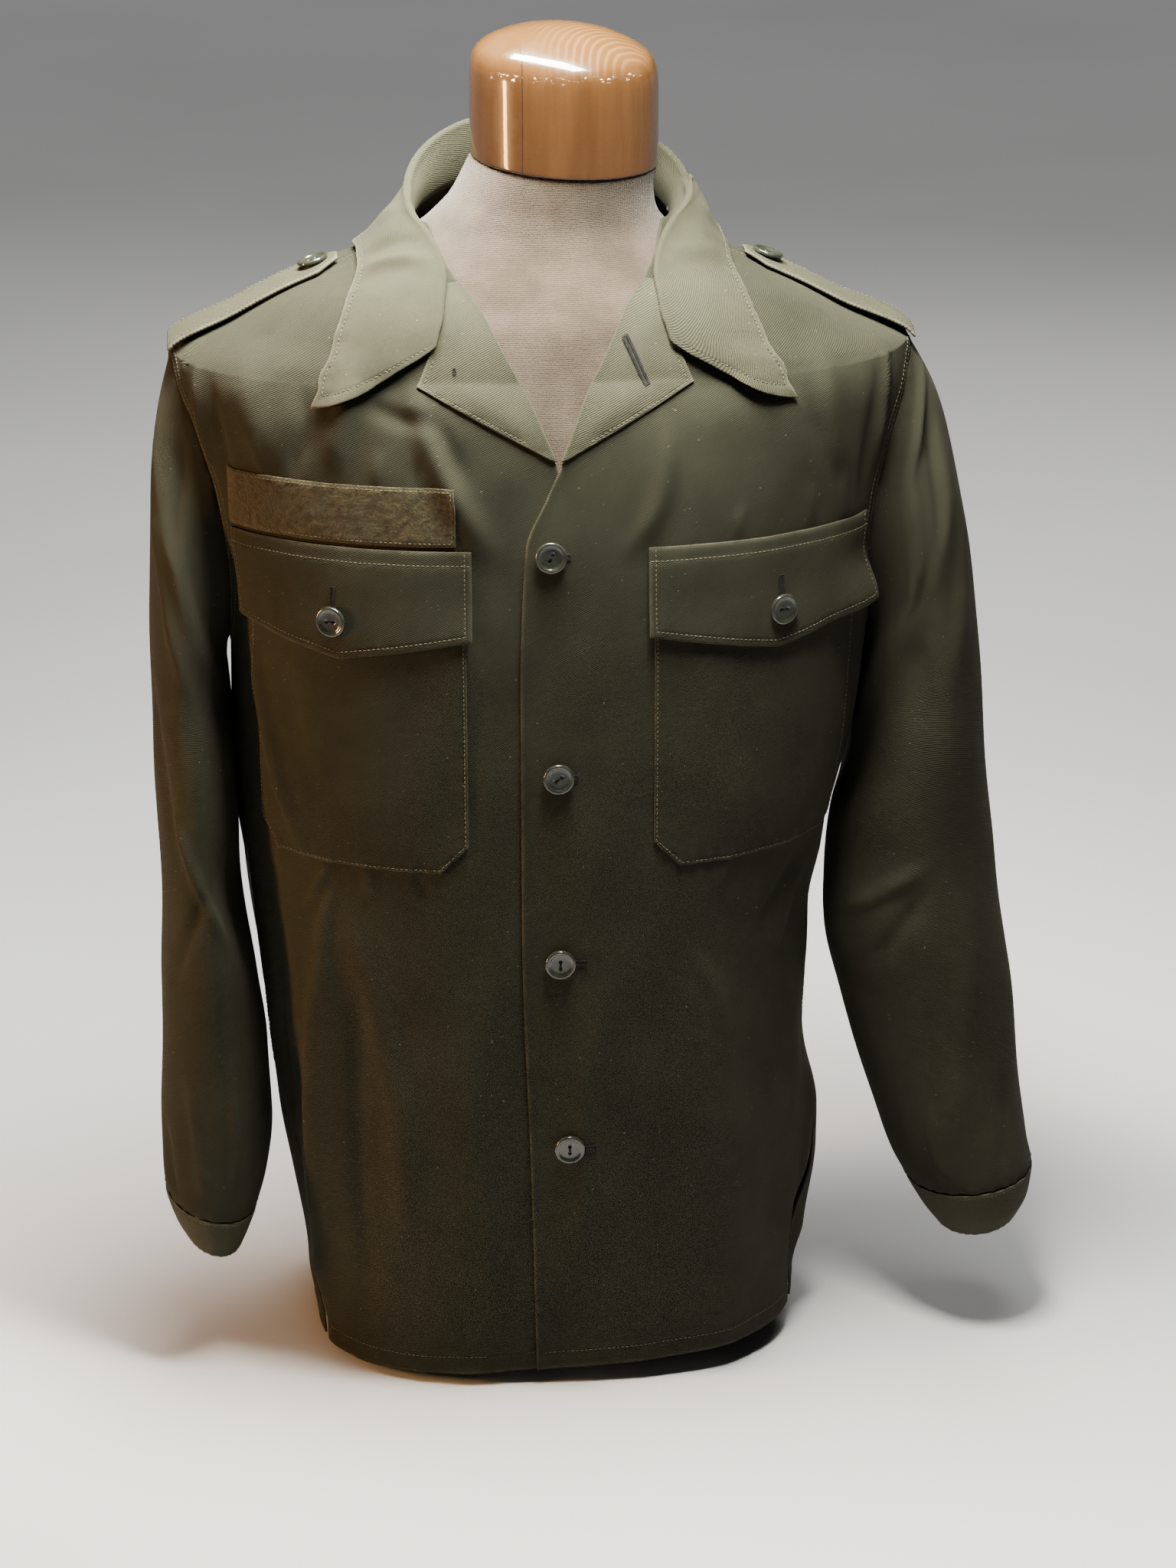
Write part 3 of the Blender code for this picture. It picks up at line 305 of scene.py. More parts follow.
# Lapel from the crossing upward. columns: roll s, roll z, edge s, edge z
LAPEL = np.array([
    (0.0030, 0.6560, 0.0060, 0.6572),
    (0.0115, 0.6760, 0.0360, 0.6730),
    (0.0175, 0.6900, 0.0640, 0.6880),
    (0.0235, 0.7020, 0.0880, 0.7010),
    (0.0350, 0.7220, 0.0780, 0.7220),
    (0.0480, 0.7440, 0.0850, 0.7380),
    (0.0600, 0.7570, 0.0920, 0.7500)])

# Chest pockets and flaps, in distance round from the centre front and height.
POCKET_S = (0.060, 0.216)
POCKET_Z = (0.384, 0.590)
POCKET_CHAMFER = 0.018
FLAP_S = (0.056, 0.226)
FLAP_TOP_Z = 0.600
FLAP_SIDE_Z = 0.542
FLAP_POINT_Z = 0.527
FLAP_CURL = 0.011  # lift of the wearer's left flap at its outer lower corner
TAPE_S = (0.066, 0.226)
TAPE_Z = (0.6025, 0.640)

# Shoulder straps, along x from the tip to the armhole seam.
STRAP_X = (0.132, 0.243)
STRAP_HALF = (0.020, 0.024)
STRAP_ARCH = 0.0018
STRAP_TILT = math.radians(25)
STRAP_UP = np.array([0.38, 0.0, 0.92])  # roughly square to the shoulder, wearer's left
STRAP_BUTTON_X = 0.147

# Buttons. columns: s, height
FRONT_BUTTONS = ((-0.006, 0.596), (-0.002, 0.449), (-0.001, 0.319), (0.005, 0.185))
POCKET_BUTTON = (0.145, 0.552)
CUFF_BUTTON = (14.0, 292.0)  # sleeve row and turn

# Dress form. columns: height, half width, front, back, squareness, middle x
FORM = np.array([
    (0.000, 0.146, 0.110, 0.101, 2.5, 0.000),
    (0.006, 0.150, 0.114, 0.105, 2.5, 0.000),
    (0.120, 0.153, 0.119, 0.103, 2.5, 0.000),
    (0.250, 0.147, 0.118, 0.095, 2.4, 0.000),
    (0.360, 0.146, 0.119, 0.093, 2.4, 0.000),
    (0.460, 0.158, 0.126, 0.099, 2.4, 0.000),
    (0.560, 0.176, 0.133, 0.107, 2.35, 0.000),
    (0.620, 0.188, 0.133, 0.109, 2.3, 0.000),
    (0.660, 0.193, 0.126, 0.104, 2.3, 0.000),
    (0.695, 0.194, 0.113, 0.094, 2.25, 0.000),
    (0.716, 0.190, 0.104, 0.087, 2.2, 0.000),
    (0.7285, 0.1762, 0.098, 0.082, 2.2, 0.000),
    (0.740, 0.1557, 0.090, 0.078, 2.2, 0.000),
    (0.7545, 0.1177, 0.079, 0.071, 2.2, 0.000),
    (0.768, 0.093, 0.069, 0.065, 2.1, 0.000),
    (0.782, 0.075, 0.063, 0.061, 2.0, 0.002),
    (0.796, 0.066, 0.060, 0.059, 2.0, 0.007),
    (0.808, 0.062, 0.059, 0.059, 2.0, 0.011),
    (0.8182, 0.0600, 0.0585, 0.0585, 2.0, 0.015)])
CAP_X = 0.015
CAP_LEAN = 0.060  # fall of the cap's rings towards +X
CAP_DIP = 0.030  # fall of its lower edge towards the front

# Smaller folds of the body, front first, then the sides and back.
# columns: start s, start z, end s, end z, bow, half width, height
BODY_CREASES = np.array([
    (-0.155, 0.374, -0.183, 0.110, 0.003, 0.0060, 0.0030),
    (-0.170, 0.360, -0.196, 0.150, 0.003, 0.0090, -0.0020),
    (-0.203, 0.712, -0.190, 0.650, 0.004, 0.0136, 0.0048),
    (-0.160, 0.696, -0.170, 0.648, -0.003, 0.0068, -0.0038),
    (-0.128, 0.704, -0.142, 0.648, 0.003, 0.0076, 0.0054),
    (-0.122, 0.692, -0.078, 0.678, 0.003, 0.0059, -0.0030),
    (-0.084, 0.686, -0.062, 0.640, -0.003, 0.0068, -0.0035),
    (-0.092, 0.708, -0.046, 0.600, 0.006, 0.0085, 0.0061),
    (-0.034, 0.640, -0.040, 0.560, 0.002, 0.0085, -0.0019),
    (-0.246, 0.704, -0.240, 0.635, 0.002, 0.0043, 0.0034),
    (-0.232, 0.694, -0.225, 0.615, -0.002, 0.0051, -0.0027),
    (-0.258, 0.712, -0.262, 0.690, 0.001, 0.0034, 0.0027),
    (-0.222, 0.535, -0.176, 0.392, 0.004, 0.0066, 0.0058),
    (-0.196, 0.540, -0.150, 0.400, 0.004, 0.0102, -0.0024),
    (-0.175, 0.350, -0.155, 0.384, 0.001, 0.0034, 0.0034),
    (-0.166, 0.344, -0.150, 0.376, -0.001, 0.0034, -0.0024),
    (-0.154, 0.378, -0.158, 0.280, 0.003, 0.0068, 0.0044),
    (-0.144, 0.352, -0.108, 0.120, -0.012, 0.0110, 0.0051),
    (-0.134, 0.300, -0.140, 0.070, 0.004, 0.0068, -0.0030),
    (-0.205, 0.330, -0.214, 0.050, 0.004, 0.0102, -0.0041),
    (-0.060, 0.300, -0.052, 0.060, 0.004, 0.0170, 0.0031),
    (0.066, 0.680, 0.046, 0.598, -0.010, 0.0076, 0.0037),
    (0.165, 0.688, 0.205, 0.612, 0.004, 0.0085, -0.0027),
    (0.180, 0.714, 0.196, 0.620, 0.004, 0.0102, 0.0041),
    (0.238, 0.706, 0.232, 0.630, 0.002, 0.0043, 0.0037),
    (0.224, 0.690, 0.218, 0.600, 0.002, 0.0051, -0.0022),
    (0.176, 0.372, 0.138, 0.318, 0.003, 0.0068, -0.0027),
    (0.186, 0.360, 0.160, 0.300, 0.003, 0.0059, 0.0031),
    (0.088, 0.320, 0.108, 0.262, -0.004, 0.0051, 0.0024),
    (0.070, 0.250, 0.066, 0.060, 0.004, 0.0102, -0.0022),
    (0.030, 0.320, 0.014, 0.080, 0.006, 0.0153, 0.0027),
    (0.205, 0.420, 0.222, 0.250, 0.006, 0.0085, 0.0034),
    (0.210, 0.180, 0.205, 0.030, 0.002, 0.0076, -0.0027),
    (0.305, 0.640, 0.372, 0.500, 0.010, 0.0102, 0.0058),
    (0.330, 0.620, 0.405, 0.460, 0.012, 0.0085, -0.0038),
    (0.312, 0.520, 0.300, 0.360, 0.004, 0.0085, 0.0037),
    (-0.310, 0.645, -0.385, 0.505, -0.010, 0.0102, 0.0054),
    (-0.335, 0.600, -0.412, 0.450, -0.012, 0.0093, -0.0041),
    (-0.300, 0.500, -0.292, 0.330, -0.004, 0.0085, 0.0034),
    (0.520, 0.640, 0.500, 0.300, 0.008, 0.0153, 0.0041),
    (-0.500, 0.600, -0.512, 0.240, -0.006, 0.0136, -0.0035),
    (0.470, 0.330, 0.462, 0.040, 0.004, 0.0119, 0.0061),
    (-0.470, 0.300, -0.480, 0.030, 0.004, 0.0127, 0.0058),
    (0.385, 0.300, 0.378, 0.030, 0.003, 0.0102, 0.0048),
    (-0.380, 0.280, -0.374, 0.030, 0.003, 0.0102, -0.0038),
    (-0.196, 0.664, -0.193, 0.640, 0.001, 0.0036, 0.0020),
    (-0.168, 0.658, -0.170, 0.640, 0.001, 0.0032, -0.0016),
    (-0.112, 0.660, -0.115, 0.640, 0.001, 0.0034, 0.0020),
    (-0.088, 0.656, -0.091, 0.640, 0.001, 0.0030, -0.0014),
    (0.118, 0.622, 0.116, 0.602, 0.001, 0.0036, 0.0016),
    (0.166, 0.626, 0.170, 0.602, -0.001, 0.0038, 0.0018),
    (0.196, 0.630, 0.202, 0.602, 0.001, 0.0036, 0.0020),
    (-0.196, 0.392, -0.200, 0.366, 0.001, 0.0034, 0.0020),
    (-0.128, 0.386, -0.124, 0.360, 0.001, 0.0034, 0.0018),
    (-0.092, 0.386, -0.088, 0.362, 0.001, 0.0032, -0.0014),
    (0.112, 0.388, 0.106, 0.362, 0.001, 0.0036, 0.0018),
    (0.430, 0.690, 0.540, 0.664, 0.006, 0.0068, 0.0027),
    (-0.430, 0.686, -0.530, 0.660, -0.006, 0.0068, 0.0027)])

# Creases of the sleeves. columns: side (1 wearer's left), start row, start turn, end row,
# end turn, half width, height; turns in degrees, 0 outer, 90 front, 180 inner
SLEEVE_CREASES = np.array([
    (-1, 0.3, 12, 2.1, 40, 0.0076, 0.0045), (-1, 0.5, 50, 2.3, 66, 0.0068, -0.0041),
    (-1, 2, 30, 4.5, 75, 0.0102, 0.0042), (-1, 3.2, 120, 5.5, 80, 0.0102, -0.0034),
    (-1, 6.6, 60, 8.2, 115, 0.0068, 0.0045), (-1, 7.4, 100, 8.8, 40, 0.0059, -0.0035),
    (-1, 9.9, 108, 12, 108, 0.0030, 0.0033), (-1, 10, 60, 12.2, 80, 0.0076, 0.0037),
    (-1, 11, 20, 12.6, 40, 0.0068, -0.0027), (-1, 5.2, 20, 7, 55, 0.0085, -0.0030),
    (-1, 0.8, 310, 2.6, 262, 0.0085, 0.0045), (-1, 1, 285, 3.2, 240, 0.0068, -0.0035),
    (-1, 6.4, 215, 8, 300, 0.0076, 0.0051), (-1, 7.3, 235, 8.8, 318, 0.0059, -0.0038),
    (-1, 9.6, 250, 12.2, 262, 0.0076, 0.0036), (-1, 3.6, 300, 6, 330, 0.0102, 0.0033),
    (1, 0.3, 8, 1, 70, 0.0059, 0.0051), (1, 0.9, 70, 2.6, 100, 0.0068, 0.0048),
    (1, 0.8, 40, 2.4, 70, 0.0059, -0.0041), (1, 2.5, 34, 5, 62, 0.0102, 0.0036),
    (1, 3.4, 110, 5.8, 84, 0.0102, -0.0032), (1, 7.6, 90, 8.4, 142, 0.0059, 0.0045),
    (1, 8, 88, 9.2, 124, 0.0051, -0.0035), (1, 9, 60, 11.6, 92, 0.0085, 0.0033),
    (1, 10.8, 40, 12.5, 58, 0.0068, -0.0027), (1, 11.2, 110, 12.7, 118, 0.0051, 0.0030),
    (1, 0.8, 320, 2.8, 270, 0.0085, 0.0045), (1, 1.3, 292, 3.2, 246, 0.0068, -0.0035),
    (1, 6.2, 212, 7.9, 298, 0.0076, 0.0054), (1, 7.1, 232, 8.6, 310, 0.0059, -0.0041),
    (1, 10, 242, 12.4, 262, 0.0076, 0.0037), (1, 4, 306, 6.2, 334, 0.0102, 0.0030)])

# Upright creases of the collar's fall. columns: place u, half width, lean, height
COLLAR_CREASES = np.array([
    (-0.66, 0.026, 0.06, 0.0038), (-0.58, 0.026, 0.05, -0.0022), (-0.42, 0.040, 0.03, 0.0020),
    (-0.24, 0.050, 0.0, 0.0018), (0.64, 0.036, -0.04, 0.0022), (0.52, 0.030, -0.03, -0.0014),
    (0.34, 0.050, 0.0, 0.0022), (0.05, 0.050, 0.02, -0.0012)])

# The cap's outline, turned about its own middle. columns: height, radius
CAP_TURNED = np.array([
    (0.8184, 0.0560), (0.8186, 0.0598), (0.8200, 0.0606), (0.8340, 0.0608), (0.8480, 0.0609),
    (0.8620, 0.0609), (0.8730, 0.0606), (0.8800, 0.0597), (0.8856, 0.0576), (0.8898, 0.0542),
    (0.8932, 0.0494), (0.8978, 0.0400), (0.9011, 0.0300), (0.9033, 0.0190), (0.9044, 0.0090),
    (0.9046, 0.0010)])


# ------------------------ stage and finishes
CAMERA_AT = (-0.2033, -2.6724, 1.4047)
CAMERA_TURN = (69.2, 0.0, -5.0)
CAMERA_LENS = 96.68
SENSOR_HEIGHT = 36.0
FLOOR_RADIUS = 16.0
FLOOR_SIDES = 64
ROOM_COLOUR = (0.93, 0.95, 1.0, 1.0)
ROOM_STRENGTH = 0.035
# columns: name, place, aim, size, power, colour, spread in degrees, shows in glosses
LIGHTS = (
    ("key_above_front", (-0.03, -0.135, 1.26), (0.0, -0.11, 0.70), (0.62, 0.16), 96.0,
     (1.0, 0.985, 0.88), 180.0, True),
    ("warm_low_left", (-1.40, -0.27, 0.56), (-0.12, -0.14, 0.46), (0.12, 0.50), 6.8,
     (1.0, 0.52, 0.20), 75.0, True),
    ("soft_behind", (0.6, 2.0, 1.9), (0.0, 0.0, 0.5), (1.6, 1.2), 55.0,
     (1.0, 0.98, 0.95), 180.0, False))
SKY_LIGHT = 1.45  # even light from straight above
SKY_TILT = math.radians(2.0)
SKY_SPREAD = math.radians(24.0)

BAND = 0.314  # period of a wave texture's bands at scale 1
TWILL_PERIOD = 0.0011
TWILL_SLANT = math.radians(63.0)
RIB_TONE = 0.30
CLOTH_SHEEN = 0.03
WALE = 0.0013
COURSE = 0.0011
TWIST = 0.0005
# places on the neck cap, in the shared frame
RING_CENTRE = (-0.075, 0.055, 0.0)  # of the growth rings
CROWN_Z = (0.878, 0.889)
CROWN_X = (-0.010, 0.022)
FRONT_Y = (-0.045, -0.030)
JOINT_X = -0.0155
CHIPPED_Z = 0.8795


# ------------------------ curves
def smooth(at, table, column):
    """Monotone cubic through one column of a table against its first column."""
    xs = table[:, 0]
    ys = table[:, column]
    step = np.diff(xs)
    slope = np.diff(ys) / step
    tangent = np.zeros(len(xs))
    before, after = slope[:-1], slope[1:]
    weight_a = 2 * step[1:] + step[:-1]
    weight_b = step[1:] + 2 * step[:-1]
    same = before * after > 0
    mean = (weight_a + weight_b) / (weight_a / np.where(same, before, 1.0)
                                    + weight_b / np.where(same, after, 1.0))
    tangent[1:-1] = np.where(same, mean, 0.0)
    tangent[0], tangent[-1] = slope[0], slope[-1]
    at = np.clip(at, xs[0], xs[-1])
    i = np.clip(np.searchsorted(xs, at) - 1, 0, len(xs) - 2)
    t = (at - xs[i]) / step[i]
    return ((2 * t**3 - 3 * t**2 + 1) * ys[i] + (t**3 - 2 * t**2 + t) * step[i] * tangent[i]
            + (3 * t**2 - 2 * t**3) * ys[i + 1] + (t**3 - t**2) * step[i] * tangent[i + 1])


def numbered(table):
    """Table with its row numbers as a first column, so that all of it is read by row."""
    return np.column_stack([np.arange(len(table)), table])


def shared(table):
    """Table with even shares from 0 to 1 as a first column."""
    return np.column_stack([np.linspace(0, 1, len(table)), table])


def columns_at(at, table):
    """Every column of a table but its first, read smoothly against that one."""
    return [smooth(at, table, k) for k in range(1, table.shape[1])]


def grid(rows, columns):
    """Two arrays of one shape: the row value and the column value of every point."""
    return np.meshgrid(rows, columns, indexing="ij")


def even_turns(count):
    """Even turns round a ring in radians, the first not repeated."""
    return np.linspace(0, 2 * np.pi, count + 1)[:-1]


def ramp(value, start, end):
    """0 before start, 1 after end, eased between."""
    t = np.clip((value - start) / (end - start), 0.0, 1.0)
    return t * t * (3 - 2 * t)


def bell(value, half):
    """1 at zero, falling to nothing over a few half widths: exp(-(value / half)^2)."""
    return np.exp(-(value / half) ** 2)


def unit(vectors):
    """Vectors divided by their own lengths."""
    return vectors / np.maximum(np.linalg.norm(vectors, axis=-1, keepdims=True), 1e-12)


def mirrored(points, side):
    """Points with x times the side: 1 the wearer's left, -1 the right."""
    return points * np.array([side, 1.0, 1.0])


# ------------------------ rings of the body
def half_ring(z, side):
    """x, y and arc length round half rings at heights z, from centre front to centre back:
    the squared oval |x / width|^p + |y / depth|^p = 1 of BODY."""
    left, right, front, back, power = (c[:, None] for c in columns_at(z, BODY))
    width = left if side > 0 else right
    turn = np.linspace(0.0, np.pi, RING_STEPS)[None, :]
    depth = np.where(turn < np.pi / 2, front, back)
    x = width * np.abs(np.sin(turn)) ** (2 / power)
    y = -depth * np.sign(np.cos(turn)) * np.abs(np.cos(turn)) ** (2 / power)
    steps = np.hypot(np.diff(x, axis=1), np.diff(y, axis=1))
    arc = np.concatenate([np.zeros((len(z), 1)), np.cumsum(steps, axis=1)], axis=1)
    return x, y, arc


def framed(values, sign):
    """Ring table with MARGIN samples mirrored past both ends, and its end rows repeated."""
    left = sign * values[:, MARGIN:0:-1]
    right = sign * values[:, -2:-2 - MARGIN:-1]
    wide = np.concatenate([left, values, right], axis=1)
    return np.pad(wide, ((MARGIN, MARGIN), (0, 0)), "edge")


def ring_table(side):
    """Rings at LEVELS as x and y at even shares of the arc, their half girth, and the share
    of the arc at even turns."""
    x, y, arc = half_ring(LEVELS, side)
    even = np.linspace(0, 1, SHARES)
    xs = np.array([np.interp(even * a[-1], a, row) for a, row in zip(arc, x)])
    ys = np.array([np.interp(even * a[-1], a, row) for a, row in zip(arc, y)])
    turns = np.linspace(0, RING_STEPS - 1, SHARES).astype(int)
    at_turn = np.pad((arc / arc[:, -1:])[:, turns], MARGIN, "edge")
    return framed(xs, -1), framed(ys, 1), arc[:, -1], at_turn


def sample(table, row, column):
    """Table between its samples at fractional rows and columns: a cubic through the four
    nearest samples, in both directions."""
    i = np.clip(np.floor(row).astype(int), 1, table.shape[0] - 3)
    j = np.clip(np.floor(column).astype(int), 1, table.shape[1] - 3)

    def weights(t):
        return (-0.5 * t + t * t - 0.5 * t**3, 1 - 2.5 * t * t + 1.5 * t**3,
                0.5 * t + 2 * t * t - 1.5 * t**3, -0.5 * t * t + 0.5 * t**3)

    down, over = weights(row - i), weights(column - j)
    return sum(down[a] * over[b] * table[i + a - 1, j + b - 1]
               for a in range(4) for b in range(4))


RINGS = {1: ring_table(1), -1: ring_table(-1)}


def level_row(z):
    """Fractional row of the ring table at height z."""
    return np.clip((z - LEVELS[0]) / (LEVELS[1] - LEVELS[0]), 0, len(LEVELS) - 1) + MARGIN


def half_girth(z, side):
    """Arc length from the centre front to the centre back."""
    return np.interp(z, LEVELS, RINGS[side][2])


def arc_at_y(z, y, side):
    """Arc length from the centre front to where the ring at each height reaches depth y."""
    _, ring_y, arc = half_ring(z, side)
    return np.array([np.interp(at, row, a) for at, row, a in zip(y, ring_y, arc)])


def arc_at_turn(z, degrees, side):
    """Arc length from the centre front to a turn of the ring."""
    column = np.clip(degrees / 180.0, 0, 1) * (SHARES - 1) + MARGIN
    out = np.zeros(z.shape)
    for way in (1, -1):
        pick = side == way
        share = sample(RINGS[way][3], level_row(z[pick]), column[pick])
        out[pick] = share * half_girth(z[pick], way)
    return out


def on_ring(s, z):
    """Point of the shirt's rings at arc length s (negative to -X) and height z."""
    points = np.zeros((*s.shape, 3))
    points[..., 2] = z
    for way in (1, -1):
        pick = (s >= 0) if way > 0 else (s < 0)
        xs, ys, _, _ = RINGS[way]
        row = level_row(z[pick])
        share = np.abs(s[pick]) / half_girth(z[pick], way)
        column = np.clip(share, 0, 1.005) * (SHARES - 1) + MARGIN
        points[pick, 0] = way * sample(xs, row, column)
        points[pick, 1] = sample(ys, row, column)
    return points


def beside_line(s, z, s0, z0, s1, z1):
    """Share along the line from (s0, z0) to (s1, z1), and distance across it."""
    length = np.hypot(s1 - s0, z1 - z0)
    along = ((s - s0) * (s1 - s0) + (z - z0) * (z1 - z0)) / length**2
    return along, ((s - s0) * (z1 - z0) - (z - z0) * (s1 - s0)) / length


def ridges(s, z, table):
    """Main folds: each a soft ridge along a straight line in s and z, dying at its ends."""
    total = np.zeros(s.shape)
    for *line, half, height in table:
        along, across = beside_line(s, z, *line)
        total += height * bell(across, half) * ramp(along, 0.0, 0.35) \
            * (1 - ramp(along, 0.95, 1.15))
    return total


def creases(s, z, table):
    """Smaller folds: each a bell across a line from (s0, z0) to (s1, z1) that bows sideways as
    a parabola; it rises over its first third and dies over its last third."""
    total = np.zeros(s.shape)
    for *line, bow, half, height in table:
        along, across = beside_line(s, z, *line)
        across = across - bow * 4 * along * (1 - along)
        total += height * bell(across, half) * ramp(along, -0.15, 0.35) \
            * (1 - ramp(along, 0.65, 1.15))
    return total


def waves(points, count, short, long, height, seed):
    """Low irregularity of the cloth: a sum of plane waves in seeded directions, each of a
    wavelength between short and long."""
    chance = np.random.default_rng(seed)
    total = np.zeros(points.shape[:-1])
    for _ in range(count):
        way = unit(chance.normal(size=3) * np.array([1.0, 1.0, 0.55]))
        period = chance.uniform(short, long)
        total += np.sin(2 * np.pi * (points @ way) / period + chance.uniform(0, 2 * np.pi))
    return total * height / math.sqrt(count)


def body(s, z, lift):
    """Shirt's surface at (s, z): the rings with their folds and waves, drawn in along a cusp
    at the shoulder's turn, moved out along the ring's normal by lift, the hem tilted."""
    shape = np.broadcast(s, z, lift).shape
    s, z, lift = (np.broadcast_to(v, shape).ravel().astype(float) for v in (s, z, lift))
    h = 0.001
    base = on_ring(s, z)
    normal = unit(np.cross(on_ring(s + h, z) - on_ring(s - h, z),
                           on_ring(s, z + h) - on_ring(s, z - h)))
    out = lift + ridges(s, z, BODY_FOLDS)
    out += creases(s, z, BODY_CREASES)
    away = np.sqrt((z - SHOULDER_TURN)**2 + SHOULDER_CUSP**2)
    out -= SHOULDER_EASE * np.clip(1 - away / SHOULDER_REACH, 0, 1)**2
    out += (1 - ramp(z, *CALM_Z)) * waves(base, *BODY_WAVES)
    points = base + normal * out[:, None]
    points[:, 2] += HEM_TILT * points[:, 0] * (1 - ramp(z, 0.0, 0.25))
    return points.reshape(*shape, 3)


def shoulder(x, y, lift, side):
    """Top of one side's shoulder at (x, y), found by halving on the rings, moved up by lift."""
    low = np.full(x.shape, SHOULDER_Z)
    high = np.full(x.shape, 0.800)
    for _ in range(30):
        z = (low + high) / 2
        left, right, front, back, power = columns_at(z, BODY)
        width = left if side > 0 else right
        depth = np.where(y < 0, front, back)
        inside = np.abs(x / width) ** power + np.abs(y / depth) ** power < 1
        low, high = np.where(inside, z, low), np.where(inside, high, z)
    return np.stack([x, y, z + lift], -1)


# ------------------------ finishes
def rgb(red, green, blue):
    """Opaque colour in linear light."""
    return (red, green, blue, 1.0)


# Colours. The first of a pair is the deeper one; a twill's third is where it is rubbed.
TWILL = (rgb(0.0122, 0.0125, 0.0080), rgb(0.0205, 0.0200, 0.0128), rgb(0.045, 0.042, 0.028))
# The faced twill is a lighter copy of the plain twill, painted light on the collar, lapels, straps
# and cuffs; the plain twill is the darker copy, painted shade.
FACED_TWILL_PAINTED_LIT = (rgb(0.0230, 0.0233, 0.0146), rgb(0.0355, 0.0343, 0.0222),
               rgb(0.090, 0.083, 0.056))
TWILL_SHEEN = rgb(0.86, 0.84, 0.66)
LINT = rgb(0.30, 0.28, 0.22)
PILE = (rgb(0.006, 0.0050, 0.0025), rgb(0.040, 0.031, 0.013))
PILE_PATCH = rgb(0.016, 0.017, 0.008)
PILE_TIP = rgb(0.085, 0.070, 0.035)
PILE_SHEEN = rgb(0.9, 0.75, 0.5)
# jersey: a deeper tan and a paler cream, painted warm reflection and painted shade
JERSEY_WITH_PAINTED_WARMTH = (rgb(0.029, 0.0195, 0.0120), rgb(0.052, 0.039, 0.027))
JERSEY_FUZZ = rgb(0.024, 0.0175, 0.0125)
WOOD = (rgb(0.031, 0.0128, 0.0040), rgb(0.048, 0.0215, 0.0075))
WOOD_GRAIN = rgb(0.034, 0.0135, 0.004)
# lighter wood for the crown: painted top light
WOOD_CROWN_PAINTED_LIGHT = rgb(0.050, 0.0230, 0.0058)
WOOD_RING = rgb(0.105, 0.052, 0.020)
GLUE_LINE = rgb(0.012, 0.005, 0.002)
CHIPPED = (rgb(0.035, 0.018, 0.010), rgb(0.55, 0.46, 0.36))
BUTTON = (rgb(0.0100, 0.0115, 0.0080), rgb(0.0170, 0.0190, 0.0135))
SEAM_YARN = (rgb(0.040, 0.038, 0.024), rgb(0.085, 0.078, 0.052))
DARK_YARN = (rgb(0.0020, 0.0022, 0.0018), rgb(0.0085, 0.0085, 0.0065))
FLOOR_TONES = (rgb(0.42, 0.42, 0.42), rgb(0.46, 0.46, 0.46))


def start(name):
    """New material: its node tree and its Principled shader."""
    material = bpy.data.materials.new(name)
    material.use_nodes = True
    return material, material.node_tree, material.node_tree.nodes["Principled BSDF"]


def feed(tree, node, inputs):
    """Inputs of a node, each a constant or another node's output."""
    for key, value in inputs.items():
        if isinstance(value, bpy.types.NodeSocket):
            tree.links.new(value, node.inputs[key])
        else:
            node.inputs[key].default_value = value
    return node


def add(tree, kind, inputs, **settings):
    """New node of a kind with its inputs and settings."""
    made = tree.nodes.new(kind)
    for key, value in settings.items():
        setattr(made, key, value)
    return feed(tree, made, inputs)


def noise(tree, vector, scale, detail=2.0, rough=0.5):
    """Cloudy noise, scale cells to the metre."""
    return add(tree, "ShaderNodeTexNoise", {"Vector": vector, "Scale": scale, "Detail": detail,
                                            "Roughness": rough}).outputs["Fac"]


def wave(tree, vector, scale, distortion, detail=2.0, finer=1.0, **settings):
    """Waves of period BAND / scale, wobbling by distortion."""
    return add(tree, "ShaderNodeTexWave", {
        "Vector": vector, "Scale": scale, "Distortion": distortion, "Detail": detail,
        "Detail Scale": finer}, **settings).outputs["Fac"]


def mapped(tree, vector, **inputs):
    """Vector moved, turned or stretched."""
    return add(tree, "ShaderNodeMapping", {"Vector": vector, **inputs}).outputs[0]


def sums(tree, kind, a, b=0.0):
    """One step of arithmetic on values."""
    return add(tree, "ShaderNodeMath", {0: a, 1: b}, operation=kind).outputs[0]


def times(tree, a, b):
    """Product of two values."""
    return sums(tree, "MULTIPLY", a, b)


def weighed(tree, *parts):
    """Sum of pairs, each a value times its weight."""
    total = times(tree, *parts[0])
    for part in parts[1:]:
        total = sums(tree, "ADD", total, times(tree, *part))
    return total


def spread(tree, value, low, high, out_low=0.0, out_high=1.0):
    """Value from low to high carried onto out_low to out_high, held at both ends."""
    return add(tree, "ShaderNodeMapRange", {"Value": value, "From Min": low, "From Max": high,
                                            "To Min": out_low, "To Max": out_high}).outputs[0]


def near(tree, value, at, full, gone, most=1.0):
    """Most where the value is within full of a place, nothing past gone."""
    away = sums(tree, "ABSOLUTE", sums(tree, "SUBTRACT", value, at))
    return spread(tree, away, full, gone, most, 0.0)


def blend(tree, share, a, b, kind="MIX"):
    """Two colours mixed by a share."""
    return add(tree, "ShaderNodeMix", {0: share, 6: a, 7: b}, data_type="RGBA",
               blend_type=kind).outputs[2]


def on_cut(tree):
    """Places on the cloth as it was cut, in metres."""
    return add(tree, "ShaderNodeUVMap", {}, uv_map="cut").outputs[0]


def on_piece(tree):
    """Places on the piece in the shared frame."""
    return add(tree, "ShaderNodeTexCoord", {}).outputs["Object"]


def raised(tree, shader, height, strength, distance):
    """Fine relief from a height, of distance metres."""
    bump = add(tree, "ShaderNodeBump", {"Height": height, "Strength": strength,
                                        "Distance": distance}).outputs[0]
    feed(tree, shader, {"Normal": bump})


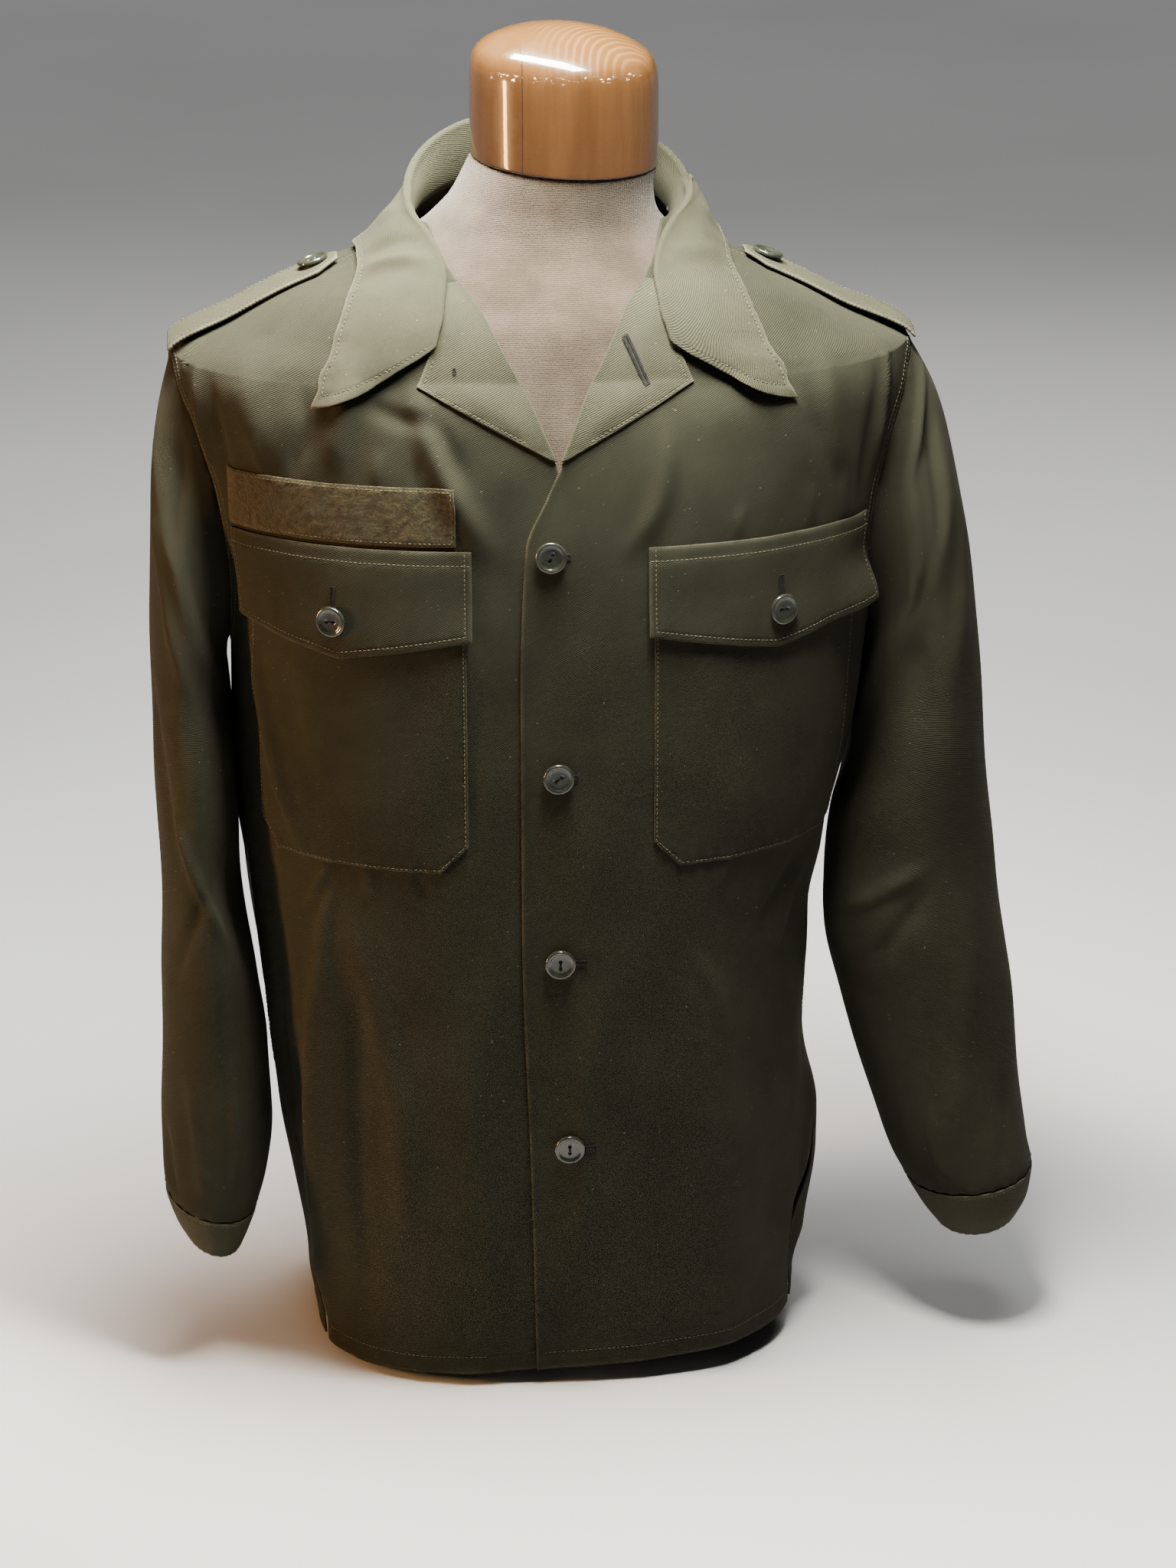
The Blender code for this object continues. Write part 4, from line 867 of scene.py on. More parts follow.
def twill(name, deep, pale, worn, roughness):
    """Cotton twill: slanting ribs and uneven yarns in the cloth's own metres, broad clouding
    of the dye, lint flecks, and paler, smoother edges where it rubs."""
    material, tree, shader = start(name)
    uv, place = on_cut(tree), on_piece(tree)
    rib = wave(tree, mapped(tree, uv, Rotation=(0, 0, TWILL_SLANT)), BAND / TWILL_PERIOD, 1.4,
               2.0, 1.6, wave_type="BANDS", bands_direction="X")
    yarn = noise(tree, uv, 1500.0, 2.0)
    slub = noise(tree, mapped(tree, uv, Scale=(900.0, 140.0, 1.0)), 1.0, 2.0)
    cloud = noise(tree, place, 11.0, 5.0, 0.62)
    mottle = noise(tree, place, 75.0, 4.0, 0.6)
    lint = noise(tree, place, 420.0, 1.0)
    colour = blend(tree, spread(tree, cloud, 0.28, 0.72, 0.15, 0.85), deep, pale)
    tone = sums(tree, "ADD", spread(tree, rib, 0.0, 1.0, -RIB_TONE, RIB_TONE),
                spread(tree, slub, 0.3, 0.7, 0.96, 1.04))
    tone = times(tree, tone, spread(tree, mottle, 0.30, 0.70, 0.94, 1.06))
    grey = add(tree, "ShaderNodeCombineXYZ", {0: tone, 1: tone, 2: tone}).outputs[0]
    colour = blend(tree, 1.0, colour, grey, "MULTIPLY")
    edge = add(tree, "ShaderNodeAttribute", {}, attribute_name="edge").outputs["Fac"]
    rubbed = times(tree, edge, spread(tree, mottle, 0.35, 0.60, 0.15, 0.55))
    colour = blend(tree, rubbed, colour, worn)
    colour = blend(tree, spread(tree, lint, 0.775, 0.79, 0.0, 0.20), colour, LINT)
    grip = spread(tree, yarn, 0.3, 0.7, roughness - 0.05, roughness + 0.05)
    feed(tree, shader, {
        "Base Color": colour, "Sheen Weight": CLOTH_SHEEN, "Sheen Roughness": 0.42,
        "Sheen Tint": TWILL_SHEEN, "Specular IOR Level": 0.05,
        "Roughness": sums(tree, "SUBTRACT", grip, times(tree, rubbed, 0.10))})
    raised(tree, shader, weighed(tree, (rib, 0.6), (yarn, 0.5), (mottle, 0.9)), 0.80, 0.00042)
    return material


def napped_tape(name):
    """Looped pile: fibres matted into small tufts of brown, tan and olive, paler on top."""
    material, tree, shader = start(name)
    uv = on_cut(tree)
    tufts = add(tree, "ShaderNodeTexVoronoi",
                {"Vector": uv, "Scale": 620.0, "Randomness": 1.0}).outputs["Distance"]
    matted = noise(tree, uv, 260.0, 5.0, 0.75)
    fibre = noise(tree, uv, 1900.0, 3.0, 0.7)
    patch = noise(tree, uv, 38.0, 3.0, 0.6)
    colour = blend(tree, spread(tree, matted, 0.38, 0.62), *PILE)
    colour = blend(tree, spread(tree, patch, 0.45, 0.62, 0.0, 0.65), colour, PILE_PATCH)
    colour = blend(tree, spread(tree, fibre, 0.54, 0.72, 0.0, 0.55), colour, PILE_TIP)
    feed(tree, shader, {
        "Base Color": colour, "Roughness": 0.95, "Sheen Weight": 0.15, "Sheen Roughness": 0.5,
        "Sheen Tint": PILE_SHEEN, "Specular IOR Level": 0.12})
    raised(tree, shader, weighed(tree, (matted, 1.4), (fibre, 0.6), (tufts, -0.5)), 1.0, 0.0016)
    return material


def jersey_knit(name):
    """Stretched cotton jersey: fine upright wales, uneven yarn and fuzz, over broad random patches
    of painted shade and painted warm reflection, a deeper tan against a paler cream.
    """
    material, tree, shader = start(name)
    place = on_piece(tree)
    wales = wave(tree, place, BAND / WALE, 2.5, 2.0, 1.2, bands_direction="X")
    courses = wave(tree, place, BAND / COURSE, 2.0, bands_direction="Z")
    fuzz = noise(tree, place, 900.0, 3.0, 0.65)
    # broad patches from tan to cream: painted warm reflection from the cap and painted shade
    worn = noise(tree, place, 26.0, 5.0, 0.6)
    colour = blend(tree, spread(tree, worn, 0.35, 0.65), *JERSEY_WITH_PAINTED_WARMTH)
    colour = blend(tree, spread(tree, fuzz, 0.35, 0.60, 0.35, 0.0), colour, JERSEY_FUZZ)
    feed(tree, shader, {
        "Base Color": colour, "Roughness": spread(tree, fuzz, 0.3, 0.7, 0.88, 0.98),
        "Sheen Weight": 0.12, "Sheen Roughness": 0.5, "Specular IOR Level": 0.12})
    raised(tree, shader, weighed(tree, (wales, 0.5), (courses, 0.3), (fuzz, 1.2)), 0.8, 0.0005)
    return material


def varnished_wood(name):
    """Turned wood under thick varnish: upright grain, growth rings on the crown, one glue
    joint, and chips in the varnish along the front of the crown's edge."""
    material, tree, shader = start(name)
    place = on_piece(tree)
    x, y, z = add(tree, "ShaderNodeSeparateXYZ", {0: place}).outputs
    stretched = mapped(tree, place, Scale=(1.0, 1.0, 0.09))
    grain = noise(tree, stretched, 260.0, 5.0, 0.65)
    broad = noise(tree, stretched, 42.0, 4.0, 0.55)
    centred = mapped(tree, place, Location=RING_CENTRE, Scale=(1.0, 1.0, 0.25))
    growth = wave(tree, centred, 62.0, 1.6, 3.0, 1.2, wave_type="RINGS", rings_direction="Z")
    colour = blend(tree, spread(tree, broad, 0.35, 0.65), *WOOD)
    colour = blend(tree, spread(tree, grain, 0.42, 0.66, 0.0, 0.42), colour, WOOD_GRAIN)
    crown = spread(tree, z, *CROWN_Z)
    # the crown painted lighter and more orange: painted top light
    colour = blend(tree, times(tree, crown, 0.6), colour, WOOD_CROWN_PAINTED_LIGHT)
    ringed = times(tree, crown, spread(tree, x, *CROWN_X))
    ringed = times(tree, ringed, spread(tree, growth, 0.45, 0.9, 0.0, 0.40))
    colour = blend(tree, ringed, colour, WOOD_RING)
    front = spread(tree, y, *FRONT_Y, 1.0, 0.0)
    joint = near(tree, x, JOINT_X, 0.0002, 0.0006, 0.8)
    colour = blend(tree, times(tree, joint, front), colour, GLUE_LINE)
    scatter = noise(tree, mapped(tree, place, Scale=(0.6, 0.6, 1.6)), 330.0, 3.0, 0.7)
    chips = times(tree, near(tree, z, CHIPPED_Z, 0.0008, 0.0026), front)
    chips = times(tree, chips, spread(tree, scatter, 0.575, 0.59))
    bare = spread(tree, noise(tree, place, 240.0, 1.0), 0.52, 0.55)
    colour = blend(tree, chips, colour, blend(tree, bare, *CHIPPED))
    scuffs = spread(tree, noise(tree, place, 60.0, 5.0, 0.65), 0.35, 0.7, 0.20, 0.38)
    feed(tree, shader, {
        "Base Color": colour, "Roughness": sums(tree, "ADD", scuffs, times(tree, chips, 0.4)),
        "Coat Weight": 0.7, "Coat Roughness": 0.06, "Specular IOR Level": 0.15})
    raised(tree, shader, weighed(tree, (grain, 0.25), (chips, -1.0), (joint, -0.5)), 0.35, 0.0004)
    return material


def glossy_button(name):
    """Moulded button of dark green, faintly swirled, its gloss broken by rubbing."""
    material, tree, shader = start(name)
    place = on_piece(tree)
    swirl = add(tree, "ShaderNodeTexNoise", {"Vector": place, "Scale": 150.0, "Detail": 3.0,
                                             "Distortion": 0.8}).outputs["Fac"]
    rubs = noise(tree, place, 1300.0, 4.0, 0.7)
    feed(tree, shader, {
        "Base Color": blend(tree, spread(tree, swirl, 0.38, 0.66), *BUTTON),
        "Roughness": spread(tree, rubs, 0.45, 0.75, 0.14, 0.26),
        "Coat Weight": 0.22, "Coat Roughness": 0.10})
    raised(tree, shader, rubs, 0.04, 0.0001)
    return material


def thread(name, deep, pale):
    """Spun thread: uneven shade and a fine twist."""
    material, tree, shader = start(name)
    place = on_piece(tree)
    shade = noise(tree, place, 650.0, 3.0, 0.6)
    twist = wave(tree, place, BAND / TWIST, 3.0, bands_direction="DIAGONAL")
    feed(tree, shader, {
        "Base Color": blend(tree, spread(tree, shade, 0.35, 0.65), deep, pale),
        "Roughness": spread(tree, twist, 0.0, 1.0, 0.62, 0.80),
        "Sheen Weight": 0.04, "Specular IOR Level": 0.10})
    raised(tree, shader, twist, 0.4, 0.0001)
    return material


TWILL_CLOTH = twill("olive_twill_cloth", *TWILL, 0.84)
FACED_CLOTH_PAINTED_LIT = twill("olive_faced_cloth_painted_lit", *FACED_TWILL_PAINTED_LIT, 0.82)
NAPPED_TAPE = napped_tape("napped_loop_tape")
JERSEY_KNIT = jersey_knit("white_jersey_knit")
VARNISHED_WOOD = varnished_wood("varnished_turned_wood")
GLOSSY_BUTTON = glossy_button("glossy_green_button")
SEAM_THREAD = thread("olive_seam_thread", *SEAM_YARN)
DARK_THREAD = thread("dark_sewing_thread", *DARK_YARN)
# how a piece of cloth is made: thickness, slot, material
PLAIN = (SINGLE, "olive_twill", TWILL_CLOTH)
# turned and doubled pieces take the lighter copy of the twill: painted light
TURNED = (SINGLE, "olive_twill_faced", FACED_CLOTH_PAINTED_LIT)
DOUBLED = (FACED, "olive_twill_faced", FACED_CLOTH_PAINTED_LIT)
# the flaps are faced but take the plain twill's darker colours: painted shade
FLAPPED = (FACED, "olive_twill_faced", TWILL_CLOTH)
LOOPED = (FACED - LAY, "loop_tape", NAPPED_TAPE)


# ------------------------ meshes
def spaced(length, step, lines=()):
    """Even steps along a length, with a support line just inside each end and a cluster of
    finer ones round each stitch line."""
    at = [np.linspace(0, length, max(3, int(round(length / step)) + 1)),
          np.array([EDGE_ROUND, length - EDGE_ROUND])]
    at += [line + STITCH_STEP * np.arange(-2, 3) for line in lines]
    at = np.unique(np.clip(np.concatenate(at), 0, length))
    near = np.diff(at, prepend=-1.0) > CLOSEST
    near[-1] = True
    at = at[near]
    return np.delete(at, -2) if at[-1] - at[-2] < CLOSEST else at


def quads_of(rows, columns):
    """Corners of the cells of a grid, four to a row."""
    index = np.arange(rows * columns).reshape(rows, columns)
    return np.stack([index[:-1, :-1], index[:-1, 1:], index[1:, 1:], index[1:, :-1]],
                    -1).reshape(-1, 4)


def wrapped(faces, wide):
    """Faces of a grid, wide points across, with its last column joined to its first."""
    columns = wide - 1
    return (faces // wide) * columns + (faces % wide) % columns


def turned_in(points, faces, middles):
    """Whether a grid's faces, summed over all, look towards the middles."""
    corners = points[faces]
    normal = np.cross(corners[:, 2] - corners[:, 0], corners[:, 3] - corners[:, 1])
    return np.sum(normal * (corners.mean(axis=1) - middles)) < 0


def link(thing):
    """Object put into the scene."""
    bpy.context.scene.collection.objects.link(thing)


def make_mesh(name, points, faces, uv=None, ends=()):
    """Mesh of four-cornered faces and any larger end faces, smooth, with a UV per corner."""
    mesh = bpy.data.meshes.new(name)
    loops = np.concatenate([faces.ravel()] + [np.asarray(e) for e in ends]).astype(np.int32)
    starts = np.concatenate([np.arange(len(faces)) * 4,
                             len(faces) * 4 + np.cumsum([0] + [len(e) for e in ends])[:-1]])
    mesh.vertices.add(len(points))
    mesh.vertices.foreach_set("co", np.ascontiguousarray(points, dtype=np.float32).ravel())
    mesh.loops.add(len(loops))
    mesh.loops.foreach_set("vertex_index", loops)
    mesh.polygons.add(len(starts))
    mesh.polygons.foreach_set("loop_start", starts.astype(np.int32))
    mesh.polygons.foreach_set("use_smooth", np.ones(len(starts), dtype=bool))
    if uv is not None:
        layer = mesh.uv_layers.new(name="cut")
        flat = np.zeros((len(loops), 2), dtype=np.float32)
        flat[:len(uv)] = uv
        layer.data.foreach_set("uv", flat.ravel())
    mesh.update(calc_edges=True)
    mesh.validate()
    return mesh


def add_piece(name, mesh, material, nodes=()):
    """Mesh with its material as a piece that rides on the body, in place of its CAD nodes, which
    are hidden.
    """
    mesh.materials.append(material)
    piece = bpy.data.objects.new(name, mesh)
    link(piece)
    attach(piece, "root")
    if nodes:
        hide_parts(*nodes)
    return piece


def cloth(name, points, uv, edge, inside, kind, nodes, around=False):
    """Grid of points (rows, columns) as a thin piece of cloth: its faces look away from the
    points inside, its wall goes inwards, and edge is the distance to its nearest edge. A piece
    that goes around has one more column in uv than in points."""
    faces = quads_of(*uv.shape[:2])
    corner_uv = uv.reshape(-1, 2)[faces]
    if around:
        faces = wrapped(faces, uv.shape[1])
    flat = points.reshape(-1, 3)
    if turned_in(flat, faces, np.broadcast_to(inside, points.shape).reshape(-1, 3)[faces[:, 0]]):
        faces, corner_uv = faces[:, ::-1], corner_uv[:, ::-1]
    mesh = make_mesh(name, flat, faces, corner_uv.reshape(-1, 2))
    thickness, slot, material = kind
    worn = mesh.attributes.new("edge", "FLOAT", "POINT")
    worn.data.foreach_set("value", bell(edge, WEAR_REACH).astype(np.float32).ravel())
    piece = add_piece(name, mesh, material, nodes)
    wall = piece.modifiers.new("wall", "SOLIDIFY")
    wall.thickness = thickness
    wall.offset = -1.0


def stitched(distance, lines):
    """Trough that a row of stitches pulls into the cloth at each distance from the edge."""
    return -STITCH_DEPTH * sum(bell(distance - line, STITCH_HALF) for line in lines)


def puckered(along, distance, line, height, pitch):
    """Small waves that a seam draws up: sines along it, fading away from its line."""
    wobble = np.sin(2 * np.pi * along / pitch + 1.7 * np.sin(2 * np.pi * along / (4.3 * pitch)))
    return height * wobble * bell(distance - line, 0.005)


def rounded_edge(distance):
    """Turned edge of a piece: its outside dips half a millimetre, as a bell at the edge."""
    return -0.0005 * bell(distance, 0.0006)


# ------------------------ stitches
def bead():
    """Six-sided spindle along X, one long and one across, and its faces by threes."""
    turn = even_turns(6)
    ring = np.stack([np.zeros(6), np.cos(turn) / 2, np.sin(turn) / 2], 1)
    points = np.concatenate([[(-0.5, 0, 0)], ring + (-0.30, 0, 0), ring + (0.30, 0, 0),
                             [(0.5, 0, 0)]])
    k = np.arange(6)
    n = (k + 1) % 6
    return points, np.concatenate([np.stack(corners, 1) for corners in (
        [1 + k, 7 + k, 7 + n], [1 + k, 7 + n, 1 + n], [0 * k, 1 + k, 1 + n],
        [13 + 0 * k, 7 + n, 7 + k])])


def path_on(surface, corners, lift=0.0, step=0.002):
    """Polyline through corners given in the surface's own two sizes, with outward normals."""
    corners = np.asarray(corners, dtype=float)
    near = surface(corners[:, 0], corners[:, 1], lift)
    count = np.maximum(2, (np.linalg.norm(np.diff(near, axis=0), axis=1) / step).astype(int) + 1)
    parts = [a + (b - a) * np.linspace(0, 1, n, endpoint=False)[:, None]
             for a, b, n in zip(corners[:-1], corners[1:], count)]
    at = np.concatenate(parts + [corners[-1:]])
    points = surface(at[:, 0], at[:, 1], lift)
    return points, unit(surface(at[:, 0], at[:, 1], lift + TINY) - points)


def even_stations(points, normals, pitch):
    """Stations a pitch apart along a polyline: place, direction and normal of each."""
    arc = np.concatenate([[0], np.cumsum(np.linalg.norm(np.diff(points, axis=0), axis=1))])
    count = max(1, int(arc[-1] / pitch))
    at = (np.arange(count) + 0.5) * arc[-1] / count

    def read(values, where):
        return np.stack([np.interp(where, arc, values[:, k]) for k in range(3)], 1)

    way = unit(read(points, at + 0.3 * pitch) - read(points, at - 0.3 * pitch))
    return read(points, at), way, unit(read(normals, at))


def sew(name, rows, material):
    """Stitches along rows of (points, normals, pitch, length, width, turn) as one mesh: each is
    a spindle carried to its station, half sunk, turned in the surface by turn."""
    shape, faces = bead()
    points, corners, base = [], [], 0
    for line, normals, pitch, length, width, turn in rows:
        spot, way, up = even_stations(line, normals, pitch)
        side = unit(np.cross(up, way))
        along = way * math.cos(turn) + side * math.sin(turn)
        side = unit(np.cross(up, along))
        spot = spot + up * 0.10 * width
        points.append(spot[:, None] + shape[None, :, :1] * length * along[:, None]
                      + shape[None, :, 1:2] * width * side[:, None]
                      + shape[None, :, 2:] * 0.7 * width * up[:, None])
        count = len(spot)
        corners.append(faces[None] + (np.arange(count) * len(shape))[:, None, None] + base)
        base += count * len(shape)
    points = np.concatenate([p.reshape(-1, 3) for p in points])
    corners = np.concatenate([c.reshape(-1, 3) for c in corners])
    mesh = bpy.data.meshes.new(name)
    mesh.from_pydata(points.tolist(), [], corners.tolist())
    mesh.polygons.foreach_set("use_smooth", np.ones(len(mesh.polygons), dtype=bool))
    add_piece(name, mesh, material)


def seam(surface, corners, lift=0.0, pitch=STITCH_PITCH):
    """One row of lockstitch on a surface."""
    line, normals = path_on(surface, corners, lift)
    return line, normals, pitch, pitch * 0.74, THREAD, 0.0


def buttonhole(surface, start, end, lift, half=0.0013):
    """Worked slit from start to end: close stitches across each lip, and a bar at each end."""
    start, end = np.array(start), np.array(end)
    way = unit(end - start)
    off = np.array([-way[1], way[0]]) * half
    rows = []
    for sign in (-1, 1):
        line, normals = path_on(surface, [start + sign * off, end + sign * off], lift)
        rows.append((line, normals, 0.00085, 2.0 * half, 0.0009, math.radians(90)))
    for tip, back in ((start, -way), (end, way)):
        line, normals = path_on(surface, [tip + back * 0.0006 - off * 1.6,
                                          tip + back * 0.0006 + off * 1.6], lift)
        rows.append((line, normals, 0.0008, 0.0018, 0.0009, math.radians(90)))
    return rows


# ------------------------ body panels
def arm_depth(z):
    """Half depth of the armhole at height z: an upright oval."""
    up = (z - ARM_MIDDLE) / ARM_HALF
    return ARMHOLE_HALF_DEPTH * np.sqrt(np.clip(1 - up**2, 0.0, 1.0))


def armhole_distance(points):
    """Distance of points from the armhole's oval, outside it, in y and z."""
    down, over = (points[..., 2] - ARM_MIDDLE) / ARM_HALF, points[..., 1] / ARMHOLE_HALF_DEPTH
    r = np.hypot(down, over)
    reach = np.hypot(ARM_HALF * down, ARMHOLE_HALF_DEPTH * over) / np.maximum(r, 1e-6)
    return (r - 1) * reach


def panel_heights():
    """Row heights: even below the armpit, cosine-spaced round the armhole, even above, with
    rows gathered at the hem's stitching."""
    low = HEM_Z + spaced(ARMPIT_Z - HEM_Z, PANEL_STEP, (HEM_STITCH,))
    hole = ARM_MIDDLE - ARM_HALF * np.cos(np.linspace(0, np.pi, ARM_ROWS + 1))
    high = np.linspace(SHOULDER_Z, NECK_Z, 31)
    return np.concatenate([low[:-1], hole, high[1:]])


def side_edge(z, front, side):
    """Arc length of a panel's side: side seam or vent, armhole, then shoulder seam."""
    seam_y = np.where(z < ARMPIT_Z, smooth(z, SIDE_SEAM, 1), 0.0)
    opening = np.where(z < ARMPIT_Z, smooth(z, SIDE_SEAM, 2), GAP / 2)
    hole = np.where((z > ARMPIT_Z) & (z < SHOULDER_Z), arm_depth(z), 0.0)
    if front:
        return arc_at_y(z, seam_y - hole, side) - opening
    return arc_at_y(z, seam_y + hole, side) + opening


def welt(points):
    """Doubled cloth round the armhole, with its two rows of stitching."""
    away = armhole_distance(points)
    beside = ramp(np.abs(points[..., 0]), 0.10, 0.14)
    raised = WELT_RISE * (1 - ramp(away, WELT - 0.0008, WELT + 0.0006))
    return beside * (raised + stitched(away, ARM_STITCH))


def hem_relief(s, z):
    """Turned-up hem: doubled cloth below its row of stitching, and low puckers along it."""
    up = z - HEM_Z
    return (HEM_RISE * (1 - ramp(up, HEM_STITCH + 0.001, HEM_STITCH + 0.0025))
            + stitched(up, (HEM_STITCH,)) + puckered(s, up, HEM_STITCH, *HEM_PUCKER))


def seam_relief(z, away):
    """Ridge of a felled side or shoulder seam with its stitching and puckers."""
    return (SEAM_RISE * (1 - ramp(away, 0.006, 0.008)) + stitched(away, (SEAM_STITCH,))
            + puckered(z, away, SEAM_STITCH, *SEAM_PUCKER))


def under_lap(s):
    """Drop of the wearer's right front where the left one laps over it."""
    return -(SINGLE + LAY) * (1 - ramp(s, *LAP_END))


def tucked(z):
    """How far the back's edge runs on under the front's, at heights where they are sewn."""
    low = ramp(z, VENT_Z[0], VENT_Z[2]) * (1 - ramp(z, ARMPIT_Z - 0.010, ARMPIT_Z - CLEAR))
    high = ramp(z, SHOULDER_Z + CLEAR, SHOULDER_Z + 0.008)
    return SEAM_LAP * (low + high)


def front_panel(side):
    """Front of one side, from its folded edge and roll line to the side: s runs evenly from
    FRONT_EDGE to side_edge in every row."""
    z = panel_heights()
    start, end = smooth(z, FRONT_EDGE, 1), side_edge(z, True, side)
    width = float(np.median(end - start))
    share = spaced(width, PANEL_STEP, (SEAM_STITCH,)) / width
    s = start[:, None] + (end - start)[:, None] * share[None, :]
    height = np.broadcast_to(z[:, None], s.shape)
    from_front, from_side = s - start[:, None], end[:, None] - s
    sewn = (height > VENT_Z[1]) & ((height < ARMPIT_Z - CLEAR) | (height > SHOULDER_Z + CLEAR))
    lift = hem_relief(s, height) + welt(on_ring(side * s, height))
    lift = lift + np.where(sewn, seam_relief(height, from_side), 0.0)
    if side < 0:
        lift = lift + under_lap(s)
    else:
        lift = lift + FOLD_RISE * (1 - ramp(from_front, 0.001, 0.004)) \
            * (1 - ramp(height, 0.64, 0.66))
    lift = lift + rounded_edge(from_front)
    edge = np.minimum.reduce([from_front, np.where(sewn, SEAM_STITCH + from_side, from_side),
                              height - HEM_Z])
    on_body("front_panel", "front", side, s, height, lift, edge, PLAIN)


def on_body(piece, node, side, s, z, lift, edge, kind):
    """Piece of one side on the shirt's surface, with s and z as its UV."""
    points = body(side * s, z, lift)
    cloth(f"{piece}_{WORDS[side]}", points, np.stack([side * s, z], -1), edge, axis_of(points),
          kind, (f"{node}_{WORDS[side]}",))


def axis_of(points):
    """Points on the upright axis, a little lower, to tell outside from inside."""
    return points * np.array([0.0, 0.0, 1.0]) - np.array([0.0, 0.0, 0.02])


def back_panel():
    """Back from side to side through the centre back, its neckline raised in the middle, its
    sewn edges running on under the fronts."""
    z = panel_heights()
    w = spaced(BACK_HALF, BACK_STEP, (SEAM_STITCH,)) / BACK_HALF
    w = np.concatenate([-1 + w[:-1], [0.0], 1 - w[:-1][::-1]])[None, :]
    rise = BACK_NECK_RISE * ramp(z, 0.745, NECK_Z)
    height = z[:, None] + rise[:, None] * (1 - w**2)
    lap = tucked(z)
    share = {side: (side_edge(z, False, side) - lap) / half_girth(z, side) for side in (1, -1)}
    part = np.where(w < 0, share[-1][:, None], share[1][:, None])
    girth = np.where(w < 0, half_girth(height, -1), half_girth(height, 1))
    from_side = np.abs(np.abs(w) - 1) * girth * (1 - part)
    s = np.where(w < 0, -1.0, 1.0) * girth * (1 - (1 - part) * np.abs(w))
    base = on_ring(s, height)
    under = -(SINGLE + LAY) * (1 - ramp(from_side - lap[:, None], -0.001, 0.0015)) \
        * (lap[:, None] > 0.0005)
    lift = under + hem_relief(s, height) + welt(base)
    points = body(s, height, lift)
    edge = np.minimum(np.where(lap[:, None] > 0.001, 0.01, from_side), height - HEM_Z)
    uv = np.stack([-w * (1 - part) * girth, height], -1)
    cloth("back_panel", points, uv, edge, axis_of(points), PLAIN, ("back",))


# ------------------------ sleeves and cuffs
def armhole_loop(turn, side):
    """Armhole's edge of one side and the body's outward normal along it, in x of that side."""
    z = ARM_MIDDLE + ARM_HALF * np.cos(turn)
    y = -ARMHOLE_HALF_DEPTH * np.sin(turn)
    s = side * arc_at_y(z, y, side)
    at = mirrored(body(s, z, 0.0), side)
    return at, unit(mirrored(body(s, z, 0.001), side) - at)


ARM_TURNS = np.linspace(0, 2 * np.pi, 181)
ARM_LOOPS = {side: armhole_loop(ARM_TURNS, side) for side in (1, -1)}


def loop_at(turn, side, which=0):
    """Armhole's edge (0) or normal (1) at any turn."""
    turn = np.mod(turn, 2 * np.pi)
    table = ARM_LOOPS[side][which]
    return np.stack([np.interp(turn, ARM_TURNS, table[:, k]) for k in range(3)], -1)


def sleeve_folds(side, row, turn):
    """Folds of a sleeve: the broad bells of SLEEVE_FOLDS and the lines of SLEEVE_CREASES."""
    degrees = np.degrees(turn)
    total = np.zeros(row.shape)
    for at_row, at_turn, slant, rows, wide, height in SLEEVE_FOLDS:
        off = (degrees - at_turn - slant * (row - at_row) + 180) % 360 - 180
        total += height * np.exp(-((row - at_row) / rows) ** 2 - (off / wide) ** 2)
    for way, r0, t0, r1, t1, half, height in SLEEVE_CREASES:
        if way != side:
            continue
        off = (degrees - t0 + 180) % 360 - 180
        across_end = ((t1 - t0) + 180) % 360 - 180
        a, b = (row - r0) * ROW_LENGTH, off * TURN_LENGTH
        c, d = (r1 - r0) * ROW_LENGTH, across_end * TURN_LENGTH
        along, across = (a * c + b * d) / (c * c + d * d), (a * d - b * c) / math.hypot(c, d)
        total += height * bell(across, half) * ramp(along, -0.15, 0.3) \
            * (1 - ramp(along, 0.7, 1.15))
    return total


def arm_oval(section, turn):
    """Oval between a section's outer and inner point, at a turn."""
    top_x, top_z, low_x, low_z, mid_y, deep = section
    return np.stack([(top_x + low_x) / 2 + np.cos(turn) * (top_x - low_x) / 2,
                     mid_y - np.sin(turn) * deep,
                     (top_z + low_z) / 2 + np.cos(turn) * (top_z - low_z) / 2], -1)


def sleeve_base(side, row, turn):
    """Ovals of the sleeve's rows, drawn onto the armhole near the head."""
    points = arm_oval(columns_at(row, numbered(SLEEVES[side])), turn)
    to_loop = loop_at(turn, side) - arm_oval(SLEEVES[side][0], turn)
    return points + to_loop * (1 - ramp(row, 0.0, 2.5))[..., None]


def sleeve_surface(side, row, turn, lift):
    """Sleeve's outside at a row and turn, folds included, in x of its side, moved out by lift."""
    h = 0.02
    around = sleeve_base(side, row, turn + h) - sleeve_base(side, row, turn - h)
    down = sleeve_base(side, row + h, turn) - sleeve_base(side, np.maximum(row - h, 0), turn)
    base = sleeve_base(side, row, turn)
    normal = unit(np.cross(around, down))
    fade = ramp(row, 0.0, 1.2) * (1 - ramp(row, CUFF_ROW - 0.8, CUFF_ROW))
    out = lift + fade * (sleeve_folds(side, row, turn) + waves(base + side, *SLEEVE_WAVES))
    return base + normal * out[..., None]


def tube_uv(around, down):
    """UV of a tube's grid, with the column again that closes it."""
    uv = np.stack([around, -down], -1)
    return np.concatenate([uv, uv[:, -1:] + (around[0, 1], 0)], axis=1)


